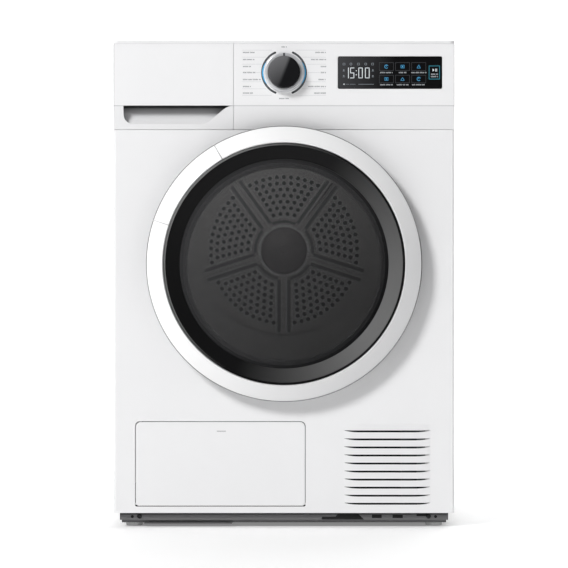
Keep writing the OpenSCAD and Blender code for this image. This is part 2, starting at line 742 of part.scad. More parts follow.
module heat_exchanger_cover() color([0.6, 0.61, 0.63]) {
    y0 = front_y + 22;
    difference() {
        union() {
            box([duct_x0 + 3, y0, tray_z + 8], [duct_x1 - 3, y0 + 5.8, duct_top_z - 3]);
            for (z = [78, 140]) box([-160, y0 - 6, z], [-60, y0 + 0.1, z + 4]);
        }
        for (x = [lever_left_x, lever_right_x]) rod_y(x, lever_z, 5 + run, y0 - 1, y0 + 7);
    }
}

module cover_lever(x) color("royalblue") {
    y0 = front_y + 22;
    rod_y(x, lever_z, 5, y0 - 4, y0 + 5);
    rod_y(x, lever_z, 14, y0 - 5, y0 - 0.4);
    along_y(y0 - 9, y0 - 0.4) round_rect(x - 6, lever_z - 26, x + 6, lever_z + 26, 5.9);
}
module cover_lever_left() cover_lever(lever_left_x);
module cover_lever_right() cover_lever(lever_right_x);

// Outline of the flap, grown by g, with its own corner radius at the hinged edge
module flap_outline(g, hinged_r) {
    x0 = flap_x - g;
    x1 = flap_x + flap_w + g;
    z1 = flap_z + flap_h + g;
    round_rect(x0, flap_z + 20, x1, z1, flap_r);
    round_rect(x0, flap_z - g, x1, z1 - 20, hinged_r);
}

module access_flap() color(white) {
    x1 = flap_x + flap_w;
    bead_r = 3;
    difference() {
        union() {
            along_y(front_y, front_y + 2.6) flap_outline(0, 6);
            translate([flap_x + 9, flap_axis_y, flap_axis_z]) rotate([0, 90, 0])
                cylinder(r = bead_r, h = flap_w - 18);
            translate([flap_x - 8, flap_axis_y, flap_axis_z]) rotate([0, 90, 0]) cylinder(r = 2, h = flap_w + 16);
        }
        along_x(flap_x - 1, x1 + 1) polygon([[front_y - 1, flap_z - 1], [front_y + 2, flap_z - 1],
            [front_y - 1, flap_z + 2]]);
    }
}

// ---- Door ----

// Front face of the ring, from its inner edge over a sloping face to its outer edge, moved in by w
function ring_face(w) = let(r0 = window_r + 0.7 + w, r1 = ring_r - w, y = door_front_y + w)
    [[r0, y + 12], [r0, y + 2.5], [r0 + 0.8, y + 0.7], [r0 + 2.6, y], [r1 - 5, y + 9], [r1 - 1.6, y + 10.4],
    [r1, y + 13]];
function ring_profile(outer_y) = concat(ring_face(0), [[ring_r, outer_y - 6], [ring_r - 1.8, outer_y - 1.8],
    [ring_r - 6, outer_y], [ring_r - 9, outer_y], [ring_r - 9, outer_y - 3], [ring_r - 5.5, outer_y - 4.5],
    [ring_r - 3, outer_y - 8]], reverse(ring_face(3)),
    [[window_r + 3.7, ring_back_y - 5], [window_r + 0.7, ring_back_y - 5]]);
function reverse(list) = [for (i = [len(list) - 1:-1:0]) list[i]];

module door_ring() color("white") difference() {
    turned(0, door_z) polygon(ring_profile(ring_back_y));
    along_y(door_front_y - 1, front_y) translate([0, door_z])
        slice(handle_a0, handle_a1, ring_r + 30);
    box([hinge_x - 30, front_y - 29, hinge_z0 - 14], [ring_r + 1, front_y, hinge_z1 + 14]);
}

module handle_insert() color("white") intersection() {
    turned(0, door_z) polygon(ring_profile(ring_back_y - 10));
    along_y(door_front_y - 1, front_y) translate([0, door_z])
        slice(handle_a0 + 0.06, handle_a1 - 0.06, ring_r + 30);
}

// Smoked window: a dish-shaped rim round a slightly domed pane
module door_window() color([0.1, 0.1, 0.11, 0.5]) turned(0, door_z) {
    y = door_front_y;
    pane_r = 181;
    polygon([[0, y + 15.5], [90, y + 16.2], [pane_r - 20, y + 18], [pane_r, y + 20], [pane_r + 4, y + 19],
        [window_r - 3, y + 7.6], [window_r, y + 7], [window_r, y + 11], [window_r - 3, y + 11.8],
        [pane_r + 5, y + 23.2], [pane_r, y + 24], [90, y + 20.2], [0, y + 19.5]]);
}

module door_inner_frame() color(dark) {
    y0 = door_front_y + 13;
    plate_y = front_y - 10;
    union() {
        ring_y(0, door_z, 177, window_r - 0.3, plate_y, plate_y + 4);
        ring_y(0, door_z, window_r - 3.5, window_r - 0.3, y0, plate_y + 1);
        ring_y(0, door_z, 177, 180, plate_y + 1, front_y + 4);
    }
}

module door_bowl() color([0.6, 0.65, 0.68, 0.4]) turned(0, door_z) {
    rim_y = front_y - 14;
    polygon([[186, rim_y], [186, rim_y + 3.8], [176, rim_y + 3.8], [172, rim_y + 6], [160, front_y + 12],
        [148, front_y + 24], [130, front_y + 26.5], [0, front_y + 28], [0, front_y + 24.5], [128, front_y + 23],
        [145, front_y + 20], [156, front_y + 10], [168, rim_y + 3], [172, rim_y]]);
}

module door_seal() color([0.25, 0.25, 0.26]) turned(0, door_z)
    polygon([[180.2, front_y - 5.9], [188, front_y - 5.9], [188, front_y + 2], [190, front_y + 6],
        [188, front_y + 9.4], [183, front_y + 9.4], [181, front_y + 5], [180.2, front_y + 4]]);

module hinge_bracket() color(steel) {
    difference() {
        union() {
            box([hinge_x - 17, front_y - 1.9, hinge_z0 - 5], [hinge_x + 8, front_y - 0.05, hinge_z1 + 5]);
            box([hinge_x - 3, hinge_y, hinge_z0], [hinge_x + 3, front_y - 1, hinge_z1]);
            translate([hinge_x, hinge_y, hinge_z0]) cylinder(r = 7, h = hinge_z1 - hinge_z0);
        }
        translate([hinge_x, hinge_y, hinge_z0 - 1]) cylinder(r = pin_r + run, h = hinge_z1 - hinge_z0 + 2);
    }
}

module hinge_arm() color(steel) {
    plate_y = front_y - 5.8;
    for (z = [hinge_z0 - 11, hinge_z1 + 1]) translate([0, 0, z]) linear_extrude(10) difference() {
        union() {
            translate([hinge_x, hinge_y]) circle(7);
            polygon([[hinge_x - 7, hinge_y], [hinge_x + 1, hinge_y - 6.9], [hinge_x + 6.5, hinge_y + 2.5],
                [hinge_x - 4, plate_y + 3], [hinge_x - 20, plate_y + 3], [hinge_x - 20, plate_y]]);
        }
        translate([hinge_x, hinge_y]) circle(pin_r - 0.02);
    }
    box([hinge_x - 35, plate_y, hinge_z0 - 11], [hinge_x - 8, plate_y + 3, hinge_z1 + 11]);
    translate([hinge_x, hinge_y, hinge_z0 - 12]) cylinder(r = pin_r, h = hinge_z1 - hinge_z0 + 24);
}

module latch_hook() color(steel) {
    plate_y = front_y - 5.8;
    box([-225, plate_y, door_z - 15], [-191, plate_y + 3, door_z + 15]);
    box([-225, plate_y, door_z - 8], [-219, front_y + 16, door_z + 8]);
    box([-225, front_y + 10, door_z - 8], [-216, front_y + 16, door_z + 8]);
}

module door_lock() color(dark) difference() {
    box([-241, inner_front_y + 0.1, door_z - 26], [-206, front_y + 25, door_z + 26]);
    box([-232, front_y, door_z - 12], [-212, front_y + 20, door_z + 12]);
}

// ---- Feet and screws ----

module foot(x, y) color([0.7, 0.71, 0.72]) translate([x, y, 0]) {
    ribs = 20;
    difference() {
        rotate_extrude() polygon([[0, 0], [foot_r - 1.5, 0], [foot_r, 1.5], [foot_r, 9], [foot_r - 3, 11], [0, 11]]);
        for (k = [0:ribs - 1]) rotate(k * 360 / ribs) translate([foot_r + 0.4, 0, 2]) cylinder(r = 1.1, h = 12, $fn = 16);
    }
    translate([0, 0, 10]) cylinder(r = 5, h = 28);
}
module foot_front_left() foot(-foot_x, foot_y0);
module foot_front_right() foot(foot_x, foot_y0);
module foot_rear_left() foot(-foot_x, foot_y1);
module foot_rear_right() foot(foot_x, foot_y1);

// Pan-head screw whose head rests on the plane y, pointing along s (+1 towards +Y)
module screw(x, z, y, s) turned(x, z) polygon([[0, y - s * 2.4], [2.6, y - s * 2.4], [4, y - s * 1], [4, y - s * 0.05],
    [screw_r, y - s * 0.05], [screw_r, y + s * 9], [0, y + s * 9]]);
module cabinet_screws() color(steel) {
    for (p = rear_screws) screw(p[0], p[1], rear_y, -1);
    for (x = [-253, 253]) screw(x, base_screw_z, front_y + 10, 1);
}

base_tray();
left_side_panel();
right_side_panel();
rear_panel();
rear_duct_cover();
worktop();
front_panel();
control_panel();
display_window();
control_board();
tank_housing();
front_bulkhead();
drum_felts();
shaft_bearing();
drive_motor();
compressor();
evaporator();
condenser();
heat_pump_duct();
refrigerant_pipes();
condensate_pump();
drain_spigot();
mains_inlet();
door_lock();
cabinet_screws();
hinge_bracket();
drum_belt();
heat_exchanger_cover();
door_ring();
door_window();
door_inner_frame();
door_bowl();
handle_insert();
hinge_arm();
latch_hook();
door_seal();
access_flap();
cover_lever_left();
cover_lever_right();
tank_front();
tank_body();
tank_lid();
dial_cap();
dial_collar();
drum_shell();
drum_rear_wall();
hub_cover();
drum_shaft();
drum_lifters();
motor_shaft();
fan_wheel();
idler_arm();
idler_pulley();
roller_left();
roller_right();
lint_filter();
foot_front_left();
foot_front_right();
foot_rear_left();
foot_rear_right();
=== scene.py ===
import json
import math
import bmesh
import bpy
import numpy as np
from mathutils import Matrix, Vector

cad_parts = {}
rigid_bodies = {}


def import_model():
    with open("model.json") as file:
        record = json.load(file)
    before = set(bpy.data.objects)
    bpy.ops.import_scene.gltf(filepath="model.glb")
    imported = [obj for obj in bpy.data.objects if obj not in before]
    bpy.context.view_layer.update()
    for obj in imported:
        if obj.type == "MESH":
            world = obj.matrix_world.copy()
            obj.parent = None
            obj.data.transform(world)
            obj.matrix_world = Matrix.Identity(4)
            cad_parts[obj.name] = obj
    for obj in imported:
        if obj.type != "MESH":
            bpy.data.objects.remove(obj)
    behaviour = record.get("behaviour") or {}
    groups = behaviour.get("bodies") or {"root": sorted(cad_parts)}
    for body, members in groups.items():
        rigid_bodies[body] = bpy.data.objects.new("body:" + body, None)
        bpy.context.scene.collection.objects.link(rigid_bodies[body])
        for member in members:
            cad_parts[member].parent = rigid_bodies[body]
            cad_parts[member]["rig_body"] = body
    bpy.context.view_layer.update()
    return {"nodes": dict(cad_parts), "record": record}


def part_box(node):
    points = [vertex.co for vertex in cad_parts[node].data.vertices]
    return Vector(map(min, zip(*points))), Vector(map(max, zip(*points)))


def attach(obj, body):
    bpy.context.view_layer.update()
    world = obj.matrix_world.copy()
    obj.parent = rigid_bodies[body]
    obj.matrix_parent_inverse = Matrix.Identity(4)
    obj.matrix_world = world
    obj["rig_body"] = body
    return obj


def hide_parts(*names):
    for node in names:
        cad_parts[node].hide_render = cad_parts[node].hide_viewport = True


# Front-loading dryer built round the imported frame: metres, front faces -Y, floor at z = 0
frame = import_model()
mm = 0.001


def middle(node):
    low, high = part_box(node)
    return (low + high) / 2


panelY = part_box("access_flap")[0].y          # plane of the front panel
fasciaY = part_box("control_panel")[0].y       # plane of the fascia's upper face
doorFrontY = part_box("door_ring")[0].y
doorCentre = middle("door_window")
dialCentre = middle("dial_cap")
drumCentre = middle("drum_shaft")
print("stage: frame loaded")

# Camera, light and floor
view = {"distance": 5.0, "frameHeight": 0.9926, "height": 0.425, "sensor": 36.0}
cameraData = bpy.data.cameras.new("viewCamera")
cameraData.sensor_width = view["sensor"]
cameraData.lens = view["sensor"] * view["distance"] / view["frameHeight"]
camera = bpy.data.objects.new("viewCamera", cameraData)
camera.location = (0, panelY - view["distance"], view["height"])
camera.rotation_euler = (math.radians(90), 0, 0)
bpy.context.scene.collection.objects.link(camera)
bpy.context.scene.camera = camera
bpy.context.scene.view_settings.view_transform = "Standard"

# Each lamp: place, the point it faces, size, power
lamps = {
    "keyLight": ((-4.4, -5.6, 4.9), (0, -0.25, 0.45), 2.0, 500),
    "fillLight": ((2.6, -3.2, 1.0), (0, -0.25, 0.45), 2.4, 5),
    "topLight": ((0.3, 0.6, 3.4), (0, 0.3, 0.8), 2.6, 12),
    "backLight": ((1.2, 3.6, 2.2), (0, 0.3, 0.45), 2.4, 40),
    "sideLight": ((3.4, 0.6, 1.7), (0.3, 0, 0.45), 2.0, 20),
    "drumLight": ((-0.05, -0.14, 0.68), (0.02, 0.225, 0.46), 0.22, 0.6),
}


def areaLamp(name, place, target, size, power):
    lampData = bpy.data.lights.new(name, "AREA")
    lampData.energy = power
    lampData.size = size
    lamp = bpy.data.objects.new(name, lampData)
    lamp.location = place
    aim = np.array(target) - np.array(place)
    yaw = math.atan2(aim[0], -aim[1])
    lamp.visible_camera = False
    lamp.rotation_euler = (math.atan2(np.hypot(aim[0], aim[1]), -aim[2]), 0, yaw + math.pi)
    bpy.context.scene.collection.objects.link(lamp)


for lampName, lampFacts in lamps.items():
    areaLamp(lampName, *lampFacts)

world = bpy.data.worlds.new("studioWorld")
world.use_nodes = True
world.node_tree.nodes["Background"].inputs["Color"].default_value = (1.0, 1.0, 1.0, 1)
world.node_tree.nodes["Background"].inputs["Strength"].default_value = 0.15
bpy.context.scene.world = world
print("stage: camera and light")


# Mesh tools
# A mesh piece from points in metres and faces, with its normals turned outwards
def makeMesh(name, verts, faces, material, smoothAngle=32, tidy=True):
    mesh = bpy.data.meshes.new(name)
    mesh.from_pydata(np.asarray(verts, dtype=float).tolist(), [], [list(map(int, f)) for f in faces])
    if tidy:
        work = bmesh.new()
        work.from_mesh(mesh)
        bmesh.ops.remove_doubles(work, verts=work.verts, dist=1e-6)
        bmesh.ops.recalc_face_normals(work, faces=work.faces)
        work.to_mesh(mesh)
        work.free()
    mesh.shade_smooth()
    mesh.set_sharp_from_angle(angle=math.radians(smoothAngle))
    mesh.materials.append(material)
    piece = bpy.data.objects.new(name, mesh)
    bpy.context.scene.collection.objects.link(piece)
    return piece


# Quads between neighbours of a rows x cols grid, closed round where asked
def gridFaces(rows, cols, wrapRows=False, wrapCols=False):
    i = np.arange(rows if wrapRows else rows - 1)[:, None]
    j = np.arange(cols if wrapCols else cols - 1)[None, :]
    iNext = (i + 1) % rows
    jNext = (j + 1) % cols
    quads = np.stack(np.broadcast_arrays(i * cols + j, i * cols + jNext,
                                         iNext * cols + jNext, iNext * cols + j), -1)
    return quads.reshape(-1, 4)


# Points of a profile (radius, y) turned about an axis along Y: x = cx + r cos a, z = cz + r sin a
def turnedGrid(profile, centre, segments=160, start=0.0, end=360.0):
    profile = np.asarray(profile, dtype=float) * mm
    full = abs(end - start) >= 360
    angle = np.radians(np.linspace(start, end, segments, endpoint=not full))
    radius, depth = profile[:, 0][None, :], profile[:, 1][None, :]
    x = centre[0] + radius * np.cos(angle)[:, None]
    z = centre[2] + radius * np.sin(angle)[:, None]
    y = np.broadcast_to(depth, x.shape)
    return np.stack([x, y, z], -1), full


# A turned solid. The profile is a closed loop, or an open line whose ends lie on the axis
def turnedPiece(name, profile, centre, material, segments=160, start=0.0, end=360.0, closed=True,
                smoothAngle=32):
    points, full = turnedGrid(profile, centre, segments, start, end)
    rows, cols = points.shape[:2]
    faces = gridFaces(rows, cols, wrapRows=full, wrapCols=closed).tolist()
    if not full:
        faces.append(list(range(cols)))
        faces.append([(rows - 1) * cols + k for k in range(cols)])
    return makeMesh(name, points.reshape(-1, 3), faces, material, smoothAngle)


# Outline of a rectangle with round corners, anticlockwise seen from the front
def roundRect(x0, z0, x1, z1, r, steps=8):
    corners = np.array([[x1 - r, z0 + r, -90], [x1 - r, z1 - r, 0],
                        [x0 + r, z1 - r, 90], [x0 + r, z0 + r, 180]])
    angle = np.radians(corners[:, 2][:, None] + np.linspace(0, 90, steps)[None, :])
    x = corners[:, 0][:, None] + r * np.cos(angle)
    z = corners[:, 1][:, None] + r * np.sin(angle)
    return np.stack([x, z], -1).reshape(-1, 2)


# An outline moved inwards along the mean of its two edge normals, mitred at corners
def inset(outline, amount):
    before = outline - np.roll(outline, 1, axis=0)
    after = np.roll(outline, -1, axis=0) - outline
    normals = []
    for edge in (before, after):
        length = np.maximum(np.hypot(edge[:, 0], edge[:, 1]), 1e-9)
        normals.append(np.stack([-edge[:, 1], edge[:, 0]], -1) / length[:, None])
    mean = normals[0] + normals[1]
    size = np.maximum((mean ** 2).sum(1) / 2, 0.25)
    return outline + mean / size[:, None] * amount


# A plate facing -Y: the outline (mm) is repeated inset by each step's amount at each step's y
def plate(name, outline, steps, material, smoothAngle=40):
    rings = [np.column_stack([o[:, 0], np.full(len(o), y), o[:, 1]])
             for o, y in ((inset(outline, a), y) for a, y in steps)]
    points = np.stack(rings) * mm
    rows, cols = points.shape[:2]
    faces = gridFaces(rows, cols, wrapCols=True).tolist()
    faces.append(list(range(cols)))
    faces.append([(rows - 1) * cols + k for k in range(cols)])
    return makeMesh(name, points.reshape(-1, 3), faces, material, smoothAngle)


# Plate steps that round the front edge: a quarter circle from the front face to the side
def softEdge(front, back, radius, steps=4):
    angle = np.radians(np.linspace(90, 0, steps + 1))
    return [(radius * (1 - np.cos(a)), front + radius * (1 - np.sin(a))) for a in angle] + [(0, back)]


# Air slots of the front panel: their ends run out to nothing, so the hoods fade into the sheet
louvre = {"x0": 104.9, "x1": 256.0, "first": 42.8, "pitch": 14.05, "count": 10, "slit": 3.5, "taper": 26.0}


def inLouvres(point):
    x, y, z = (c / mm for c in point)
    return louvre["x0"] - 0.5 < x < louvre["x1"] + 0.5 and z < 190 and y < panelY / mm + 1.3


# A copy of a CAD node's mesh, merged and with its edges rounded. It stands for the node
def bevelledCopy(name, node, material, width, segments=3, angle=28, smoothAngle=40, shape=None):
    mesh = frame["nodes"][node].data.copy()
    mesh.name = name
    work = bmesh.new()
    work.from_mesh(mesh)
    bmesh.ops.remove_doubles(work, verts=work.verts, dist=1e-5)
    bmesh.ops.dissolve_limit(work, angle_limit=math.radians(0.6), verts=work.verts, edges=work.edges)
    if shape:
        shape(work)
    sharp = [e for e in work.edges if len(e.link_faces) == 2 and e.calc_face_angle(0) > math.radians(angle)
             and not (shape and inLouvres(e.verts[0].co) and inLouvres(e.verts[1].co))]
    bmesh.ops.bevel(work, geom=sharp, offset=width * mm, offset_type="OFFSET", segments=segments, profile=0.5,
                    affect="EDGES", clamp_overlap=True)
    bmesh.ops.recalc_face_normals(work, faces=work.faces)
    work.to_mesh(mesh)
    work.free()
    mesh.materials.clear()
    mesh.materials.append(material)
    mesh.shade_smooth()
    mesh.set_sharp_from_angle(angle=math.radians(smoothAngle))
    piece = bpy.data.objects.new(name, mesh)
    bpy.context.scene.collection.objects.link(piece)
    even = piece.modifiers.new("evenNormals", "WEIGHTED_NORMAL")
    even.weight = 100
    even.keep_sharp = True
    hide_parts(node)
    return piece


def add(piece, body, slot, *replaced):
    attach(piece, body)
    if replaced:
        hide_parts(*replaced)
    return piece


# Flat shapes for printing, in front-view millimetres
def bar(x0, z0, x1, z1):
    return np.array([[x0, z0], [x1, z0], [x1, z1], [x0, z1]], dtype=float)


def dot(x, z, r, sides=20):
    angle = np.linspace(0, 2 * math.pi, sides, endpoint=False)
    return np.column_stack([x + r * np.cos(angle), z + r * np.sin(angle)])


# Part of a ring as short convex slices
def band(x, z, r0, r1, a0, a1, steps=24):
    angle = np.radians(np.linspace(a0, a1, steps + 1))
    inner = np.column_stack([x + r0 * np.cos(angle), z + r0 * np.sin(angle)])
    outer = np.column_stack([x + r1 * np.cos(angle), z + r1 * np.sin(angle)])
    return [np.array([inner[k], outer[k], outer[k + 1], inner[k + 1]]) for k in range(steps)]


def frameLines(x0, z0, x1, z1, w):
    return [bar(x0, z0, x1, z0 + w), bar(x0, z1 - w, x1, z1), bar(x0, z0 + w, x0 + w, z1 - w),
            bar(x1 - w, z0 + w, x1, z1 - w)]


# A straight stroke of width w between two points
def slanted(x0, z0, x1, z1, w):
    run = np.array([x1 - x0, z1 - z0], dtype=float)
    side = np.array([-run[1], run[0]]) / max(np.hypot(*run), 1e-9) * w / 2
    a, b = np.array([x0, z0]), np.array([x1, z1])
    return np.array([a - side, b - side, b + side, a + side])


# Flat marks: each convex outline becomes a thin raised plate in front of surfaceY (metres)
def printed(name, shapes, surfaceY, material, lift=0.12, sink=0.02):
    verts, faces, at = [], [], 0
    for shape in shapes:
        n = len(shape)
        for depth in (surfaceY - lift * mm, surfaceY + sink * mm):
            verts.append(np.column_stack([shape[:, 0] * mm, np.full(n, depth), shape[:, 1] * mm]))
        faces.append(list(range(at, at + n)))
        faces.append(list(range(at + 2 * n - 1, at + n - 1, -1)))
        faces += [[at + k, at + n + k, at + n + (k + 1) % n, at + (k + 1) % n] for k in range(n)]
        at += 2 * n
    return makeMesh(name, np.concatenate(verts), faces, material, tidy=False)


# Materials: every one is worked out from object coordinates, so it needs no unwrapping
def linear(level):
    return tuple((c / 12.92 if c <= 0.04045 else ((c + 0.055) / 1.055) ** 2.4)
                 for c in (v / 255 for v in level))


# A finish: colour as 0-255 levels, with a faint mottle, a roughness that drifts and a fine bump
def finish(name, level, roughness=0.4, metallic=0.0, grain=300.0, bump=0.03, mottle=0.02, drift=0.04,
           stretch=(1, 1, 1), coat=0.0, bumpSize=0.2, specular=0.5):
    look = bpy.data.materials.new(name)
    look.use_nodes = True
    nodes, links = look.node_tree.nodes, look.node_tree.links
    shader = nodes["Principled BSDF"]
    shader.inputs["Metallic"].default_value = metallic
    shader.inputs["Coat Weight"].default_value = coat
    shader.inputs["Coat Roughness"].default_value = 0.08
    shader.inputs["Specular IOR Level"].default_value = specular
    coord = nodes.new("ShaderNodeTexCoord")
    mapping = nodes.new("ShaderNodeMapping")
    mapping.inputs["Scale"].default_value = stretch
    links.new(coord.outputs["Object"], mapping.inputs["Vector"])
    cloud = nodes.new("ShaderNodeTexNoise")
    cloud.inputs["Scale"].default_value = 9.0
    cloud.inputs["Detail"].default_value = 3.0
    links.new(mapping.outputs["Vector"], cloud.inputs["Vector"])
    tone = nodes.new("ShaderNodeMix")
    tone.data_type = "RGBA"
    base = linear(level)
    tone.inputs["A"].default_value = (*[min(1.0, c * (1 - mottle)) for c in base], 1)
    tone.inputs["B"].default_value = (*[min(1.0, c * (1 + mottle)) for c in base], 1)
    links.new(cloud.outputs["Fac"], tone.inputs["Factor"])
    links.new(tone.outputs["Result"], shader.inputs["Base Color"])
    spread = nodes.new("ShaderNodeMapRange")
    spread.inputs["To Min"].default_value = max(0.02, roughness - drift)
    spread.inputs["To Max"].default_value = roughness + drift
    links.new(cloud.outputs["Fac"], spread.inputs["Value"])
    links.new(spread.outputs["Result"], shader.inputs["Roughness"])
    fine = nodes.new("ShaderNodeTexNoise")
    fine.inputs["Scale"].default_value = grain
    fine.inputs["Detail"].default_value = 2.0
    links.new(mapping.outputs["Vector"], fine.inputs["Vector"])
    relief = nodes.new("ShaderNodeBump")
    relief.inputs["Strength"].default_value = bump
    relief.inputs["Distance"].default_value = bumpSize * mm
    links.new(fine.outputs["Fac"], relief.inputs["Height"])
    links.new(relief.outputs["Normal"], shader.inputs["Normal"])
    return look


# Glass as a tinted clear layer with a polish over it, so light still reaches what lies behind
def glass(name, level, polish=0.03, ior=1.5, haze=0.0):
    look = finish(name, (24, 25, 27), roughness=polish + 0.02, drift=0.01, bump=0.01, grain=60)
    nodes, links = look.node_tree.nodes, look.node_tree.links
    clear = nodes.new("ShaderNodeBsdfTransparent")
    clear.inputs["Color"].default_value = (*linear(level), 1)
    fresnel = nodes.new("ShaderNodeFresnel")
    fresnel.inputs["IOR"].default_value = ior
    amount = nodes.new("ShaderNodeMapRange")
    amount.inputs["To Min"].default_value = haze
    amount.inputs["To Max"].default_value = 1.0
    links.new(fresnel.outputs["Fac"], amount.inputs["Value"])
    both = nodes.new("ShaderNodeMixShader")
    links.new(amount.outputs["Result"], both.inputs["Fac"])
    links.new(clear.outputs["BSDF"], both.inputs[1])
    links.new(nodes["Principled BSDF"].outputs["BSDF"], both.inputs[2])
    links.new(both.outputs["Shader"], nodes["Material Output"].inputs["Surface"])
    return look


# Painted light: a faint grey glow (an emission) over a glass, from one level to another by a factor, standing in for
# the room light a smoked pane scatters
def glowVeil(look, level, farLevel, factor):
    nodes, links = look.node_tree.nodes, look.node_tree.links
    tone = nodes.new("ShaderNodeMix")
    tone.data_type = "RGBA"
    tone.inputs["A"].default_value = (*linear(level), 1)
    tone.inputs["B"].default_value = (*linear(farLevel), 1)
    links.new(factor, tone.inputs["Factor"])
    paneGlow = nodes.new("ShaderNodeEmission")
    links.new(tone.outputs["Result"], paneGlow.inputs["Color"])
    both = nodes.new("ShaderNodeAddShader")
    surface = nodes["Material Output"].inputs["Surface"]
    links.new(surface.links[0].from_socket, both.inputs[0])
    links.new(paneGlow.outputs["Emission"], both.inputs[1])
    links.new(both.outputs["Shader"], surface)


# Zinc-coated sheet: crystal patches of slightly different grey and polish
def zincSheet(name, level):
    look = finish(name, level, roughness=0.42, metallic=0.85, bump=0.02)
    nodes, links = look.node_tree.nodes, look.node_tree.links
    coord = nodes.new("ShaderNodeTexCoord")
    patches = nodes.new("ShaderNodeTexVoronoi")
    patches.inputs["Scale"].default_value = 70.0
    links.new(coord.outputs["Object"], patches.inputs["Vector"])
    grey = nodes.new("ShaderNodeSeparateColor")
    links.new(patches.outputs["Color"], grey.inputs["Color"])
    tone = nodes.new("ShaderNodeMix")
    tone.data_type = "RGBA"
    base = linear(level)
    tone.inputs["A"].default_value = (*[c * 0.93 for c in base], 1)
    tone.inputs["B"].default_value = (*[min(1.0, c * 1.05) for c in base], 1)
    links.new(grey.outputs["Red"], tone.inputs["Factor"])
    links.new(tone.outputs["Result"], nodes["Principled BSDF"].inputs["Base Color"])
    spread = nodes.new("ShaderNodeMapRange")
    spread.inputs["To Min"].default_value = 0.38
    spread.inputs["To Max"].default_value = 0.48
    links.new(grey.outputs["Green"], spread.inputs["Value"])
    links.new(spread.outputs["Result"], nodes["Principled BSDF"].inputs["Roughness"])
    return look


# Arithmetic on material values, which may be sockets or numbers
def calc(look, operation, a, b=0.0, clamp=False):
    node = look.node_tree.nodes.new("ShaderNodeMath")
    node.operation = operation
    node.use_clamp = clamp
    for k, value in enumerate((a, b)):
        if isinstance(value, (int, float)):
            node.inputs[k].default_value = value
        else:
            look.node_tree.links.new(value, node.inputs[k])
    return node.outputs["Value"]


# Object coordinates in millimetres, as three sockets
def placeOf(look):
    coord = look.node_tree.nodes.new("ShaderNodeTexCoord")
    split = look.node_tree.nodes.new("ShaderNodeSeparateXYZ")
    look.node_tree.links.new(coord.outputs["Object"], split.inputs["Vector"])
    return [calc(look, "MULTIPLY", split.outputs[axis], 1000.0) for axis in "XYZ"]


# 0 at value a and 1 at value b, straight between
def ramp(look, value, a, b):
    return calc(look, "DIVIDE", calc(look, "SUBTRACT", value, a), b - a, clamp=True)


# 1 inside a band from a to b, fading over the given width at each side
def bandOf(look, value, a, b, fade):
    return calc(look, "MULTIPLY", ramp(look, value, a - fade, a), ramp(look, value, b + fade, b))


# How far a point lies along a direction from a centre: (x - cx) dx + (z - cz) dz
def along(look, x, z, centre, direction):
    return calc(look, "ADD", calc(look, "MULTIPLY", calc(look, "SUBTRACT", x, centre[0]), direction[0]),
                calc(look, "MULTIPLY", calc(look, "SUBTRACT", z, centre[1]), direction[1]))


def radiusFrom(look, x, z, centre):
    dx, dz = calc(look, "SUBTRACT", x, centre[0]), calc(look, "SUBTRACT", z, centre[1])
    return calc(look, "SQRT", calc(look, "ADD", calc(look, "MULTIPLY", dx, dx), calc(look, "MULTIPLY", dz, dz)))


# Moves the base colour towards another level by a factor
def tint(look, level, factor):
    nodes, links = look.node_tree.nodes, look.node_tree.links
    socket = nodes["Principled BSDF"].inputs["Base Color"]
    mix = nodes.new("ShaderNodeMix")
    mix.data_type = "RGBA"
    links.new(factor, mix.inputs["Factor"])
    links.new(socket.links[0].from_socket, mix.inputs["A"])
    mix.inputs["B"].default_value = (*linear(level), 1)
    links.new(mix.outputs["Result"], socket)


